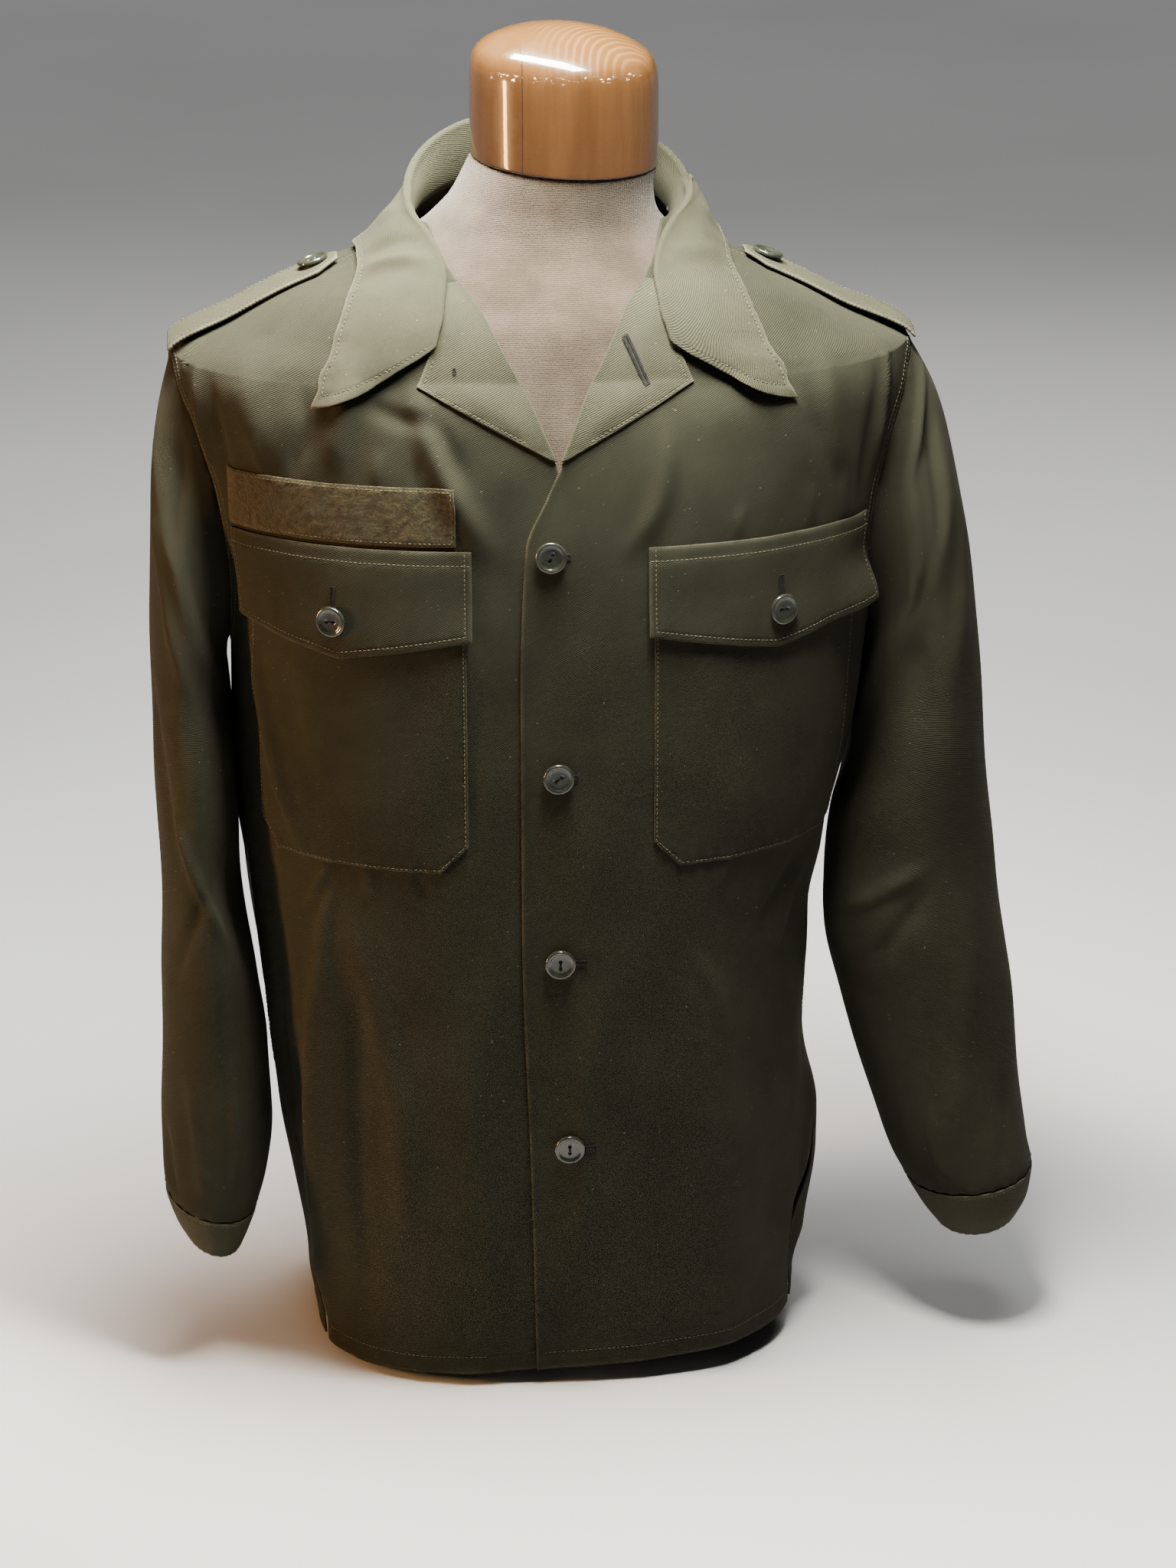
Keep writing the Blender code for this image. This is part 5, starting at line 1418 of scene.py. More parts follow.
def sleeve(side):
    """Sleeve from the armhole, where its edge runs on under the panels, down to the cuff."""
    row = np.concatenate([[0.0, 0.02, 0.06], np.linspace(0.12, CUFF_ROW - 0.02, SLEEVE_ROWS),
                          [CUFF_ROW, CUFF_ROW + 0.10]])
    row, turn = grid(row, even_turns(SLEEVE_SIDES))
    from_cuff = (CUFF_ROW - row) * ROW_LENGTH
    lift = puckered(turn * HEAD_RADIUS, row * ROW_LENGTH, 0.004, *HEAD_PUCKER) \
        + puckered(turn * CUFF_RADIUS, from_cuff, 0.003, *WRIST_PUCKER) * ramp(row, 6, 9) \
        - (FACED + LAY) * ramp(row, CUFF_ROW - 0.03, CUFF_ROW)
    points = sleeve_surface(side, row, turn, lift)
    loop, out = loop_at(turn[0], side), loop_at(turn[0], side, 1)
    outwards = unit(loop - loop.mean(axis=0))
    outwards = unit(outwards - out * np.sum(outwards * out, axis=1, keepdims=True))
    points[0] = loop + outwards * 0.0035 - out * (SINGLE + 2 * LAY)
    points[1] = loop + outwards * 0.0002 - out * (SINGLE + LAY)
    points[2] = points[2] * 0.5 + (loop - out * SINGLE - outwards * 0.0008) * 0.5
    middle = points.mean(axis=1, keepdims=True)
    cloth(f"sleeve_tube_{WORDS[side]}", mirrored(points, side),
          tube_uv(turn * SLEEVE_RADIUS, row * ROW_LENGTH), np.full(row.shape, 0.05),
          mirrored(middle, side), PLAIN, (f"sleeve_{WORDS[side]}",), True)


def cuff_surface(side, row, turn, lift):
    """Cuff's outside: the sleeve's rows past CUFF_ROW, a little proud."""
    return sleeve_surface(side, row, turn, lift + GAP)


def cuff(side):
    """Faced band at the sleeve's end, stitched along both edges."""
    last = len(SLEEVES[side]) - 1
    start, length = CUFF_ROW + CUFF_GAP, CUFF_LENGTH
    lines = (CUFF_STITCH, length - CUFF_STITCH)
    down = spaced(length, FACED_STEP, lines)
    row, turn = grid(start + (last - start) * down / length, even_turns(SLEEVE_SIDES))
    away = (row - start) / (last - start) * length
    around = turn * CUFF_RADIUS
    edge = np.minimum(away, length - away)
    lift = stitched(away, lines) + rounded_edge(edge)
    for line, pucker in zip(lines, CUFF_PUCKERS):
        lift = lift + puckered(around, away, line, *pucker)
    points = cuff_surface(side, row, turn, lift)
    cloth(f"cuff_band_{WORDS[side]}", mirrored(points, side), tube_uv(around, away), edge,
          mirrored(points.mean(axis=1, keepdims=True), side), DOUBLED,
          (f"cuff_{WORDS[side]}",), True)


# ------------------------ collar and lapels
def collar_opening(side, turn):
    """How far the collar stands away from the neck, most at the sides of the neck."""
    most = np.where(side > 0, COLLAR_OPEN[0], COLLAR_OPEN[1])
    return most * ramp(turn, 40.0, 78.0) * (1 - ramp(turn, 100.0, 165.0))


def collar_surface(u, v, lift):
    """Collar at u (-1 to 1 round the neck) and v: 0 to 1 down the fall from the roll to the
    outer edge, with a half sine of bulge and of sag, 0 to -1 over the roll as a half circle,
    then down the stand to -2."""
    roll_turn, roll_z, roll_lift, edge_turn, edge_z, edge_lift = columns_at(
        np.abs(u), shared(COLLAR))
    side = np.where(u < 0, -1.0, 1.0)
    fall, over, stand = np.clip(v, 0, 1), np.clip(-v, 0, 1), np.clip(-v - 1, 0, 1)
    radius = np.clip((roll_lift - COLLAR_INNER) / 2, *ROLL_RADIUS)
    neck = NECK_Z + BACK_NECK_RISE * np.clip(1 - ((180.0 - roll_turn) / 90.0) ** 2, 0.0, 1.0)
    behind = ramp(roll_turn, 30.0, 80.0)
    leg = STAND_TUCK + np.clip(roll_z - neck, 0.0, 0.05) * behind
    z = roll_z + (edge_z - roll_z) * fall + (radius + lift) * np.sin(np.pi * over) - leg * stand
    z -= COLLAR_SAG * np.sin(np.pi * fall**0.8) * ramp(np.abs(u), 0.70, 1.0)
    turn = roll_turn + (edge_turn - roll_turn) * fall
    opening = collar_opening(side, turn) * (1 - 0.75 * fall**2) * (1 - 0.8 * stand)
    out = roll_lift + (edge_lift - roll_lift) * fall + COLLAR_BULGE * np.sin(np.pi * fall) ** 2
    out = out + opening - radius * (1 - np.cos(np.pi * over)) - STAND_LEAN * stand
    out = out + lift * np.cos(np.pi * over)
    out = out * (1 - stand * behind) - STAND_FOOT * stand * behind + collar_waves(u, fall)
    s = side * arc_at_turn(z, turn, side)
    return body(s, z, out)


def collar_waves(u, fall):
    """Soft upright creases of the fall: leaning bells that die out at its outer edge."""
    total = np.zeros(u.shape)
    for at, half, lean, height in COLLAR_CREASES:
        total += height * bell(u - at - lean * fall, half) * ramp(fall, 0.0, 0.4) \
            * (1 - ramp(fall, 0.70, 1.05))
    return total


def collar():
    """One faced piece: fall, roll and stand, stitched round its outer edge and points."""
    around, stand, roll = COLLAR_STEPS
    down = spaced(FALL_LENGTH, FACED_STEP, (FALL_LENGTH - COLLAR_STITCH,)) / FALL_LENGTH
    v = np.concatenate([np.linspace(-2, -1, stand)[:-1], np.linspace(-1, 0, roll)[:-1], down])
    end = np.array([EDGE_ROUND, COLLAR_FRONT_STITCH - 0.0008, COLLAR_FRONT_STITCH,
                    COLLAR_FRONT_STITCH + 0.0008]) / COLLAR_HALF
    u = np.unique(np.concatenate([np.linspace(-1, 1, around), -1 + end, 1 - end]))
    v, u = grid(v, u)
    from_tip = (1 - np.abs(u)) * COLLAR_HALF
    from_edge = (1 - v) * FALL_LENGTH
    edge = np.minimum(from_tip, from_edge)
    lift = stitched(from_edge, (COLLAR_STITCH,)) * (from_tip > COLLAR_FRONT_STITCH) \
        + stitched(from_tip, (COLLAR_FRONT_STITCH,)) * (from_edge > COLLAR_STITCH) * (v > 0.05) \
        + rounded_edge(edge) + puckered(u * COLLAR_HALF, from_edge, COLLAR_STITCH, *COLLAR_PUCKER)
    points = collar_surface(u, v, lift)
    inside = points * (0.0, 0.0, 1.0) + (0.0, 0.0, -0.03)
    inside = np.where((v < -0.5)[..., None], 2 * points - inside, inside)
    behind = np.clip(-v, 0, 1) * ROLL_LENGTH + np.clip(-v - 1, 0, 1) * STAND_LENGTH
    uv = np.stack([u * COLLAR_HALF, np.where(v > 0, -v * FALL_LENGTH, behind)], -1)
    cloth("collar_fall_and_stand", points, uv, edge, inside, DOUBLED,
          ("collar", "collar_stand"))


def lapel_surface(side):
    """Surface of one lapel: v from the roll (0) to its edge (1), t up from the crossing, and
    v from 0 to -1 round the fold, a half circle about the front's own edge."""
    rows = shared(LAPEL)
    top = LAY + SINGLE + 0.0005

    def surface(t, v, lift):
        roll_s, roll_z = smooth(t, rows, 1), smooth(t, rows, 2)
        edge_s, edge_z = (np.interp(t, rows[:, 0], rows[:, k]) for k in (3, 4))
        flat, over = np.clip(v, 0, 1), np.clip(-v, 0, 1)
        radius = (top + SINGLE + LAY) / 2
        s = roll_s + (edge_s - roll_s) * flat - (radius + lift) * np.sin(np.pi * over)
        z = roll_z + (edge_z - roll_z) * flat
        out = top - radius * (1 - np.cos(np.pi * over)) + lift * np.cos(np.pi * over)
        out = out + 0.0012 * np.sin(np.pi * flat) ** 2 * ramp(t, 0.05, 0.3)
        return body(side * s, z, out + (under_lap(s) if side < 0 else 0.0))
    return surface


def lapel(side):
    """Turned-back facing from the crossing up under the collar, its outer edge stitched."""
    t = spaced(LAPEL_LENGTH, LAPEL_STEP, (LAPEL_LENGTH / 2,)) / LAPEL_LENGTH
    flat = spaced(LAPEL_WIDTH, LAPEL_STEP, (LAPEL_WIDTH - LAPEL_STITCH,)) / LAPEL_WIDTH
    t, v = grid(t, np.concatenate([np.linspace(-1, 0, 8)[:-1], flat]))
    rows = shared(LAPEL)
    reach = np.interp(t, rows[:, 0], rows[:, 3]) - smooth(t, rows, 1)
    away = (1 - v) * reach
    lift = stitched(away, (LAPEL_STITCH,)) * ramp(t, 0.06, 0.16) * (1 - ramp(t, 0.62, 0.7)) \
        + rounded_edge(away) + puckered(t * LAPEL_LENGTH, away, LAPEL_STITCH, *LAPEL_PUCKER)
    points = lapel_surface(side)(t, v, lift)
    inside = np.where((v < -0.5)[..., None], points + (0.0, -1.0, 0.0), points + (0.0, 1.0, 0.0))
    uv = np.stack([smooth(t, rows, 1) + v * reach, smooth(t, rows, 2)], -1) * (side, 1.0)
    cloth(f"lapel_facing_{WORDS[side]}", points, uv, away, inside, TURNED,
          (f"lapel_{WORDS[side]}",))


# ------------------------ pockets, flaps, tape
def fullness(s, z):
    """Outward swell of a pocket, shared by its flap: a product of two half sines."""
    u = np.clip((s - POCKET_S[0]) / (POCKET_S[1] - POCKET_S[0]), 0.0, 1.0)
    v = np.clip((z - POCKET_Z[0]) / (POCKET_Z[1] - POCKET_Z[0]), 0.0, 1.0)
    return POCKET_FULLNESS * np.sin(np.pi * u) * np.sin(np.pi * v ** 0.8)


def pocket_lift(s, z):
    """Lift of the pocket's outside: sewn down at its edges, swelling between them."""
    return LAY + SINGLE + fullness(s, z)


def pocket_surface(side):
    """Pocket's outside at s and z."""
    return lambda s, z, lift: body(side * s, z, pocket_lift(s, z) + lift)


def pocket(side):
    """Patch with its two lower corners cut off, stitched along its sides and foot."""
    width, tall = POCKET_S[1] - POCKET_S[0], POCKET_Z[1] - POCKET_Z[0]
    over = spaced(width, POCKET_STEP, (POCKET_STITCH, width - POCKET_STITCH)) / width
    up = spaced(tall, POCKET_STEP, (POCKET_STITCH, POCKET_CHAMFER)) / tall
    v, u = grid(up, over)
    z = POCKET_Z[0] + tall * v
    cut = np.clip(POCKET_CHAMFER - (z - POCKET_Z[0]), 0.0, None)
    s = POCKET_S[0] + cut + (width - 2 * cut) * u
    slope = np.where(cut > 0, math.sqrt(0.5), 1.0)
    from_sides = np.minimum(s - POCKET_S[0] - cut, POCKET_S[1] - cut - s) * slope
    from_foot = z - POCKET_Z[0]
    edge = np.minimum(from_sides, from_foot)
    lift = pocket_lift(s, z) + stitched(edge, (POCKET_STITCH,)) + rounded_edge(edge) \
        + puckered(s, from_foot, POCKET_STITCH, *POCKET_PUCKERS[0]) \
        + puckered(z, from_sides, POCKET_STITCH, *POCKET_PUCKERS[1])
    on_body("pocket_patch", "pocket", side, s, z, lift, edge, PLAIN)


def flap_lift(side, s, z):
    """Lift of the flap's outside: on the front at its top, over the pocket below, its lower
    edge a little away from the pocket and the wearer's left one curled at its outer corner."""
    lift = LAY + FACED + (SINGLE + LAY) * (1 - ramp(z, 0.588, 0.5975)) + fullness(s, z)
    down = (FLAP_TOP_Z - z) / (FLAP_TOP_Z - FLAP_SIDE_Z)
    lift = lift + 0.0016 * ramp(down, 0.5, 1.1) + 0.0006 * bell(z - FLAP_TOP_Z + 0.0035, 0.0025)
    if side > 0:
        outward = (s - FLAP_S[0]) / (FLAP_S[1] - FLAP_S[0])
        lift = lift + FLAP_CURL * ramp(outward, 0.72, 1.0) * ramp(down, 0.35, 1.0)
    return lift


def flap_foot(s):
    """Height of the flap's pointed lower edge."""
    u = (s - FLAP_S[0]) / (FLAP_S[1] - FLAP_S[0])
    return FLAP_SIDE_Z + (FLAP_POINT_Z - FLAP_SIDE_Z) * (1 - np.abs(2 * u - 1))


def flap_surface(side):
    """Flap's outside at s and z."""
    return lambda s, z, lift: body(side * s, z, flap_lift(side, s, z) + lift)


def flap(side):
    """Pointed flap of faced cloth, stitched along its foot and ends and across its band."""
    width, tall = FLAP_S[1] - FLAP_S[0], FLAP_TOP_Z - FLAP_SIDE_Z
    over = spaced(width, FLAP_STEP[1], (FLAP_STITCH, width - FLAP_STITCH, width / 2)) / width
    down = spaced(tall, FLAP_STEP[0], (FLAP_BAND, tall - FLAP_STITCH)) / tall
    v, u = grid(down, over)
    s = FLAP_S[0] + width * u
    z = FLAP_TOP_Z + (flap_foot(s) - FLAP_TOP_Z) * v
    from_ends = np.minimum(s - FLAP_S[0], FLAP_S[1] - s)
    from_foot = z - flap_foot(s)
    edge = np.minimum.reduce([from_ends, from_foot, FLAP_TOP_Z - z])
    hem = np.minimum(from_ends, from_foot)
    lift = flap_lift(side, s, z) + stitched(hem, (FLAP_STITCH,)) + rounded_edge(edge) \
        + stitched(FLAP_TOP_Z - z, (FLAP_BAND,)) \
        + puckered(s, from_foot, FLAP_STITCH, *FLAP_PUCKER) \
        + puckered(s, FLAP_TOP_Z - z, FLAP_BAND, *BAND_PUCKER)
    on_body("pocket_flap", "flap", side, s, z, lift, edge, FLAPPED)


def tape_surface(s, z, lift):
    """Tape's outside on the wearer's right front."""
    return body(-s, z, LAY + FACED + lift)


def loop_tape():
    """Strip of napped loop tape, its pile uneven and its edges sewn down."""
    width, tall = TAPE_S[1] - TAPE_S[0], TAPE_Z[1] - TAPE_Z[0]
    v, u = grid(spaced(tall, TAPE_STEP[0]) / tall, spaced(width, TAPE_STEP[1]) / width)
    s, z = TAPE_S[0] + width * u, TAPE_Z[0] + tall * v
    edge = np.minimum.reduce([s - TAPE_S[0], TAPE_S[1] - s, z - TAPE_Z[0], TAPE_Z[1] - z])
    pile = waves(on_ring(-s, z), *TAPE_PILE)
    lift = pile * ramp(edge, 0.001, 0.004) - 0.0006 * (1 - ramp(edge, 0.0, 0.003))
    points = tape_surface(s, z, lift)
    cloth("loop_tape_strip", points, np.stack([s, z], -1), edge, axis_of(points), LOOPED,
          ("loop_tape",))


# ------------------------ shoulder straps
def strap_half(along):
    """Half width of the strap: a blunt point at the tip, then widening to the armhole."""
    half = STRAP_HALF[0] + (STRAP_HALF[1] - STRAP_HALF[0]) * along
    return half * np.clip(0.35 + along / 0.12 * 0.65, 0.35, 1.0)


def strap_surface(side):
    """Strap's outside at along (0 tip, 1 armhole) and across (-1 to 1): the shoulder's top,
    arched by a half sine and raised at the tip."""
    def surface(along, across, lift):
        x = STRAP_X[0] + (STRAP_X[1] - STRAP_X[0]) * along
        rise = LAID + STRAP_ARCH * np.sin(np.pi * along) + STRAP_TIP * (1 - ramp(along, 0.0, 0.22))
        low = shoulder(x, across * strap_half(along), rise / math.cos(STRAP_TILT), side)
        return mirrored(low + STRAP_UP * np.asarray(FACED + lift)[..., None], side)
    return surface


def strap(side):
    """Shoulder strap of faced cloth from its tip by the collar to the armhole seam."""
    length = STRAP_X[1] - STRAP_X[0]
    along, across = grid(spaced(length, STRAP_STEP[0], (0.004,)) / length,
                         spaced(2.0, STRAP_STEP[1]) - 1)
    across = np.sign(across) * np.abs(across) ** 0.85
    half = strap_half(along)
    edge = np.minimum((1 - np.abs(across)) * half, along * length)
    lift = stitched(edge, (STRAP_STITCH,)) + rounded_edge(edge)
    points = strap_surface(side)(along, across, lift)
    cloth(f"strap_piece_{WORDS[side]}", points, np.stack([along * length, across * half], -1),
          edge, points - (0.0, 0.0, 1.0), DOUBLED, (f"shoulder_strap_{WORDS[side]}",))


# ------------------------ buttons
def button_points(turns, steps):
    """Button as a polar grid, its back on z = 0: a profile turned about Z, from the middle of
    the back round the rim to the middle of the dished front, with two round pits in it."""
    at = np.linspace(0, len(BUTTON_PROFILE) - 1, steps)[:, None]
    height, radius = columns_at(at, numbered(BUTTON_PROFILE))
    height, radius = BUTTON_THICK * height, BUTTON_RADIUS * radius
    turn = even_turns(turns)
    x, y = radius * np.cos(turn), radius * np.sin(turn)
    front = at > FRONT_ROWS
    pit = 1 - ramp(np.hypot(np.abs(x) - HOLE_APART, y), HOLE_RADIUS - 0.00022, HOLE_RADIUS)
    return np.stack([x, y, height - HOLE_DEPTH * pit * front], -1)


def spin_piece(name, rings, material, nodes):
    """Closed piece through rings (rings, points, 3), its two ends closed by flat faces."""
    count, around = rings.shape[:2]
    faces = wrapped(quads_of(count, around + 1), around + 1)
    flat = rings.reshape(-1, 3)
    first, last = np.arange(around), (count - 1) * around + np.arange(around)
    ends = (first[::-1], last)
    if turned_in(flat, faces, np.repeat(rings.mean(axis=1), around, axis=0)[faces[:, 0]]):
        faces, ends = faces[:, ::-1], (first, last[::-1])
    add_piece(name, make_mesh(name, flat, faces, None, ends), material, nodes)


def set_on(points, at, axis, spin, scale=1.0):
    """Points about Z carried to a place: Z along the axis, X turned by spin about it."""
    up = unit(np.asarray(axis, dtype=float))
    over = unit(np.cross((0.0, 1.0, 0.0) if abs(up[1]) < 0.6 else (0.0, 0.0, 1.0), up))
    side = np.cross(up, over)
    x = over * math.cos(spin) + side * math.sin(spin)
    turned = points[..., :1] * x + points[..., 1:2] * np.cross(up, x) + points[..., 2:] * up
    return np.asarray(at) + scale * turned


def sew_button(name, node, at, axis, spin, scale=1.0):
    """Two-hole button, made, and the strands of thread that hold it, as rows to sew."""
    spots = set_on(button_points(*BUTTON_STEPS), at + unit(np.asarray(axis)) * GAP, axis, spin,
                   scale)
    spin_piece(name, spots, GLOSSY_BUTTON, (node,))
    rows = []
    for off in STRANDS:
        x = np.linspace(-HOLE_APART, HOLE_APART, 9)
        arch = BUTTON_THICK * 0.60 + 0.0005 - 0.0016 * (x / HOLE_APART) ** 4
        line = set_on(np.stack([x, np.full(9, off), arch], 1), at, axis, spin, scale)
        up = np.tile(unit(np.asarray(axis, dtype=float)), (9, 1))
        rows.append((line, up, 0.0016, 0.0020, THREAD, 0.0))
    return rows


def buttons():
    """Buttons of the front, the pockets, the straps and the cuffs, with their thread."""
    rows = []

    def spot(surface, a, b, lift):
        at = surface(np.array([a]), np.array([b]), lift)[0]
        return at, surface(np.array([a]), np.array([b]), lift + TINY)[0] - at

    for number, (s, z) in enumerate(FRONT_BUTTONS, start=1):
        at, axis = spot(body, s, z, 0.0)
        rows += sew_button(f"front_disc_{number}", f"front_button_{number}", at, axis,
                           math.radians(BUTTON_SPIN[number - 1]))
    for side, word in WORDS.items():
        at, axis = spot(flap_surface(side), *POCKET_BUTTON, 0.0003)
        rows += sew_button(f"pocket_disc_{word}", f"pocket_button_{word}", at, axis, 0.0)
        along = (STRAP_BUTTON_X - STRAP_X[0]) / (STRAP_X[1] - STRAP_X[0])
        at = strap_surface(side)(np.array([along]), np.array([0.0]), 0.0004)[0]
        rows += sew_button(f"strap_disc_{word}", f"strap_button_{word}", at,
                           (side * 0.30, 0.0, 0.95), 0.0)
        row, turn = np.array([CUFF_BUTTON[0]]), np.radians([CUFF_BUTTON[1]])
        at = mirrored(cuff_surface(side, row, turn, 0.0001)[0], side)
        axis = mirrored(cuff_surface(side, row, turn, 0.001)[0], side) - at
        rows += sew_button(f"cuff_disc_{word}", f"cuff_button_{word}", at, axis, 0.0,
                           CUFF_BUTTON_SCALE)
    sew("button_thread", rows, DARK_THREAD)


# ------------------------ dress form
def oval_rings(table, steps, around):
    """Squared ovals of a table of height, half width, front, back, squareness, middle x, read
    smoothly by row number."""
    at = np.linspace(0, len(table) - 1, steps)[:, None]
    z, width, front, back, power, middle = columns_at(at, numbered(table))
    turn = even_turns(around)
    depth = np.where(np.cos(turn) > 0, front, back)
    x = middle + width * np.sign(np.sin(turn)) * np.abs(np.sin(turn)) ** (2 / power)
    y = -depth * np.sign(np.cos(turn)) * np.abs(np.cos(turn)) ** (2 / power)
    return np.stack([x, y, np.broadcast_to(z, x.shape)], -1)


def dress_form():
    """Jersey-covered torso with its flat foot, and the varnished cap of its neck: both lean by
    CAP_LEAN and CAP_DIP where they meet."""
    torso = oval_rings(FORM, *FORM_STEPS)
    slim = 1 - 0.006 * ramp(torso[..., 2], 0.0, 0.02) * (1 - ramp(torso[..., 2], 0.765, 0.79))
    torso[..., :2] *= slim[..., None]
    share = ramp(torso[..., 2], 0.790, 0.8182)
    torso[..., 2] -= share * (CAP_LEAN * (torso[..., 0] - CAP_X) - CAP_DIP * torso[..., 1])
    spin_piece("jersey_torso", torso, JERSEY_KNIT, ("form_torso",))
    round_and_at = np.broadcast_to((2.0, CAP_X), CAP_TURNED.shape)
    rings = oval_rings(np.column_stack([CAP_TURNED[:, [0, 1, 1, 1]], round_and_at]), *CAP_STEPS)
    share = 1 - ramp(rings[..., 2], 0.825, 0.862)
    rings[..., 2] -= CAP_LEAN * (rings[..., 0] - CAP_X) - CAP_DIP * share * rings[..., 1]
    spin_piece("turned_neck_cap", rings, VARNISHED_WOOD, ("form_neck_cap",))


# ------------------------ stitching
def panel_surface(side):
    """Front or back of one side at s and z."""
    return lambda s, z, lift: body(side * s, z, lift)


def side_row(side, low, high, count):
    """Row of stitching beside a front's side edge between two heights."""
    z = np.linspace(low, high, count)
    at = np.stack([side_edge(z, True, side) - SEAM_STITCH, z], 1)
    return seam(panel_surface(side), at, SEAM_RISE)


def panel_stitches(side):
    """Rows of one front: hem, armhole and side seam."""
    surface, z = panel_surface(side), HEM_Z + HEM_STITCH
    start, end = FRONT_EDGE[0, 1] + 0.004, float(side_edge(np.array([0.03]), True, side)[0])
    inner, lift = (LAP_END[0], -(SINGLE + LAY)) if side < 0 else (LAP_END[1], HEM_RISE)
    return [seam(surface, [(max(start, LAP_END[1]), z), (end, z)], HEM_RISE),
            seam(surface, [(start, z), (inner, z)], lift),
            side_row(side, 0.215, ARMPIT_Z - 0.006, 30),
            side_row(side, SHOULDER_Z + 0.010, 0.770, 14)]


def armhole_stitches(side):
    """Two rows round the armhole on the doubled cloth."""
    rows = []
    turn = np.linspace(0, 2 * np.pi, 121)
    for away in ARM_STITCH:
        z = ARM_MIDDLE + (ARM_HALF + away) * np.cos(turn)
        y = -(ARMHOLE_HALF_DEPTH + away) * np.sin(turn)
        at = np.stack([arc_at_y(z, y, side), z], 1)
        rows.append(seam(panel_surface(side), at, WELT_RISE * 0.9))
    return rows


def back_stitches():
    """Hem's row on each half of the back."""
    z = HEM_Z + HEM_STITCH
    rows = []
    for side in WORDS:
        end = float(side_edge(np.array([z]), False, side)[0]) + 0.003
        full = float(half_girth(np.array([z]), side)[0])
        rows.append(seam(panel_surface(side), [(end, z), (full, z)], HEM_RISE))
    return rows


def pocket_stitches(side):
    """One row inside the pocket's edge, down one side, round the cut corners and up."""
    d, c = POCKET_STITCH, POCKET_CHAMFER
    k = d * math.tan(math.radians(22.5))
    left, right, foot, top = POCKET_S[0] + d, POCKET_S[1] - d, POCKET_Z[0] + d, FLAP_SIDE_Z + 0.012
    corners = [(left, top), (left, POCKET_Z[0] + c + k), (POCKET_S[0] + c + k, foot),
               (POCKET_S[1] - c - k, foot), (right, POCKET_Z[0] + c + k), (right, top)]
    return [seam(pocket_surface(side), corners)]


def flap_stitches(side):
    """Row along the flap's ends and pointed foot, and the one below its top fold."""
    d, top, under = FLAP_STITCH, FLAP_TOP_Z - 0.001, FLAP_TOP_Z - FLAP_BAND
    foot = [(s, float(flap_foot(s)) + d)
            for s in (FLAP_S[0] + d, (FLAP_S[0] + FLAP_S[1]) / 2, FLAP_S[1] - d)]
    ends = [(FLAP_S[0] + d, top), *foot, (FLAP_S[1] - d, top)]
    band = [(FLAP_S[0] + 0.001, under), (FLAP_S[1] - 0.001, under)]
    return [seam(flap_surface(side), ends), seam(flap_surface(side), band)]


def tape_stitches():
    """One row round the tape, inside its edge."""
    d = TAPE_STITCH
    left, right, foot, top = TAPE_S[0] + d, TAPE_S[1] - d, TAPE_Z[0] + d, TAPE_Z[1] - d
    corners = [(left, foot), (right, foot), (right, top), (left, top), (left, foot)]
    return [seam(tape_surface, corners, -0.0002)]


def collar_stitches():
    """Row inside the outer edge, from point to point, and one up each front edge."""
    front = 1 - COLLAR_FRONT_STITCH / COLLAR_HALF
    low = 1 - COLLAR_STITCH / FALL_LENGTH
    u = np.linspace(-front, front, 90)
    rows = [seam(collar_surface, np.stack([u, np.full(90, low)], 1))]
    for way in (1, -1):
        v = np.linspace(0.06, low, 16)
        rows.append(seam(collar_surface, np.stack([np.full(16, way * front), v], 1)))
    return rows


def lapel_stitches(side):
    """Row inside the lapel's outer edge, between its ends."""
    rows = shared(LAPEL)
    t = np.linspace(0.10, 0.62, 30)
    reach = smooth(t, rows, 3) - smooth(t, rows, 1)
    return [seam(lapel_surface(side), np.stack([t, 1 - LAPEL_STITCH / reach], 1))]


def cuff_stitches(side):
    """One row round each edge of the cuff."""
    def surface(row, turn, lift):
        return mirrored(cuff_surface(side, row, turn, lift), side)

    start, last = CUFF_ROW + CUFF_GAP, len(SLEEVES[side]) - 1
    turn = np.linspace(0, 2 * np.pi, 61)
    rows = []
    for away in (CUFF_STITCH, CUFF_LENGTH - CUFF_STITCH):
        row = start + (last - CUFF_ROW - CUFF_GAP) * away / CUFF_LENGTH
        rows.append(seam(surface, np.stack([np.full(61, row), turn], 1)))
    return rows


def strap_stitches(side):
    """One row round the strap's sides and blunt tip, inside their edge."""
    across = 1 - STRAP_STITCH / STRAP_HALF[0]
    half = [(0.99, across), (0.16, across), (0.035, 0.60)]
    return [seam(strap_surface(side), half + [(a, -b) for a, b in half[::-1]])]


def lapel_top(s, z, lift):
    """Top of a lapel away from its edges, straight above the front it is folded onto."""
    return body(s, z, LAPEL_TOP + lift)


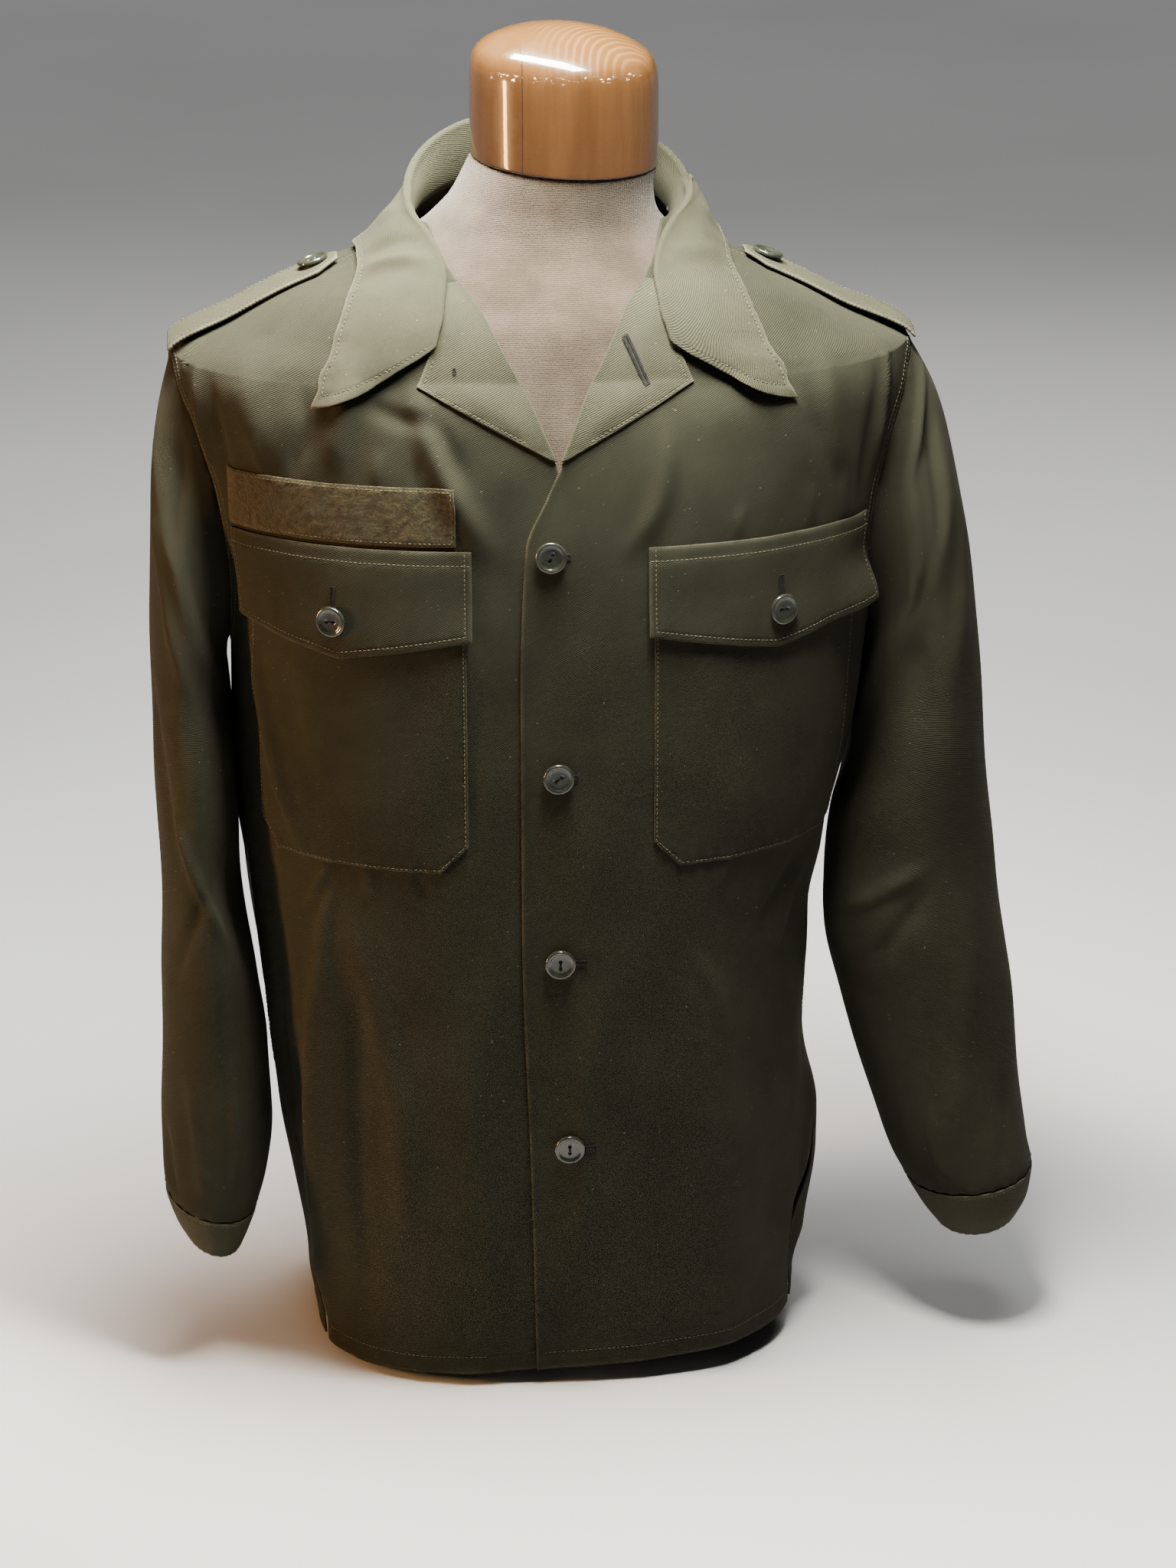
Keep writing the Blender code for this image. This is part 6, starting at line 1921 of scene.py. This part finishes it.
def stitching():
    """Every row of stitching and every worked buttonhole, one mesh for each carrier."""
    for side, word in WORDS.items():
        sew(f"front_stitches_{word}", panel_stitches(side), SEAM_THREAD)
        sew(f"armhole_stitches_{word}", armhole_stitches(side), SEAM_THREAD)
        sew(f"pocket_stitches_{word}", pocket_stitches(side), SEAM_THREAD)
        sew(f"flap_stitches_{word}", flap_stitches(side), SEAM_THREAD)
        across, button_z = POCKET_BUTTON
        slit = buttonhole(flap_surface(side), (across, button_z + SLIT_START),
                          (across, button_z + FLAP_SLIT), 0.0001)
        sew(f"flap_buttonhole_{word}", slit, DARK_THREAD)
        sew(f"lapel_stitches_{word}", lapel_stitches(side), SEAM_THREAD)
        sew(f"cuff_stitches_{word}", cuff_stitches(side), SEAM_THREAD)
        sew(f"strap_stitches_{word}", strap_stitches(side), SEAM_THREAD)
    slits = []
    for (s, z), reach in zip(FRONT_BUTTONS, SLIT_REACH):
        slits += buttonhole(body, (s + SLIT_START, z), (s + reach, z), 0.0004)
    sew("front_buttonholes", slits, DARK_THREAD)
    sew("lapel_buttonhole", buttonhole(lapel_top, *LAPEL_SLIT, 0.0001), DARK_THREAD)
    sew("lapel_eyelet", buttonhole(lapel_top, *LAPEL_EYELET, 0.0001, 0.0007), DARK_THREAD)
    sew("back_stitches", back_stitches(), SEAM_THREAD)
    sew("collar_stitches", collar_stitches(), SEAM_THREAD)
    sew("tape_stitches", tape_stitches(), SEAM_THREAD)


# ------------------------ stage
def pale_floor():
    """Round, faintly uneven floor."""
    material, tree, shader = start("pale_floor")
    tint = spread(tree, noise(tree, on_piece(tree), 1.3, 3.0), 0.3, 0.7)
    feed(tree, shader, {"Base Color": blend(tree, tint, *FLOOR_TONES), "Roughness": 0.9})
    turn = even_turns(FLOOR_SIDES)
    rim = np.stack([FLOOR_RADIUS * np.cos(turn), FLOOR_RADIUS * np.sin(turn), 0 * turn], 1)
    mesh = bpy.data.meshes.new("floor")
    mesh.from_pydata(rim.tolist(), [], [list(range(FLOOR_SIDES))])
    mesh.materials.append(material)
    floor = bpy.data.objects.new("floor", mesh)
    link(floor)


def studio():
    """Pale floor, a narrow bright light close above the front, a warm one low at the left, a
    soft one behind, even light from above, a dim room, and the camera."""
    pale_floor()
    for name, at, to, size, power, colour, opening, glossy in LIGHTS:
        data = bpy.data.lights.new(name, "AREA")
        data.shape, data.size, data.size_y = "RECTANGLE", size[0], size[1]
        data.energy, data.color, data.spread = power, colour, math.radians(opening)
        lamp = bpy.data.objects.new(name, data)
        lamp.location = at
        lamp.visible_camera = False
        lamp.visible_glossy = glossy
        lamp.rotation_euler = (Vector(to) - Vector(at)).to_track_quat("-Z", "Y").to_euler()
        link(lamp)
    data = bpy.data.lights.new("sky", "SUN")
    data.energy, data.angle = SKY_LIGHT, SKY_SPREAD
    lamp = bpy.data.objects.new("sky", data)
    lamp.rotation_euler = (SKY_TILT, 0.0, 0.0)
    link(lamp)
    world = bpy.data.worlds.new("soft_room")
    world.use_nodes = True
    feed(world.node_tree, world.node_tree.nodes["Background"],
         {"Color": ROOM_COLOUR, "Strength": ROOM_STRENGTH})
    bpy.context.scene.world = world
    data = bpy.data.cameras.new("camera")
    data.sensor_fit, data.sensor_height, data.lens = "VERTICAL", SENSOR_HEIGHT, CAMERA_LENS
    camera = bpy.data.objects.new("camera", data)
    camera.location = CAMERA_AT
    camera.rotation_euler = [math.radians(a) for a in CAMERA_TURN]
    link(camera)
    bpy.context.scene.camera = camera


# ------------------------ making
studio()
dress_form()
back_panel()
collar()
loop_tape()
for side in (1, -1):
    front_panel(side)
    sleeve(side)
    cuff(side)
    lapel(side)
    pocket(side)
    flap(side)
    strap(side)
buttons()
stitching()
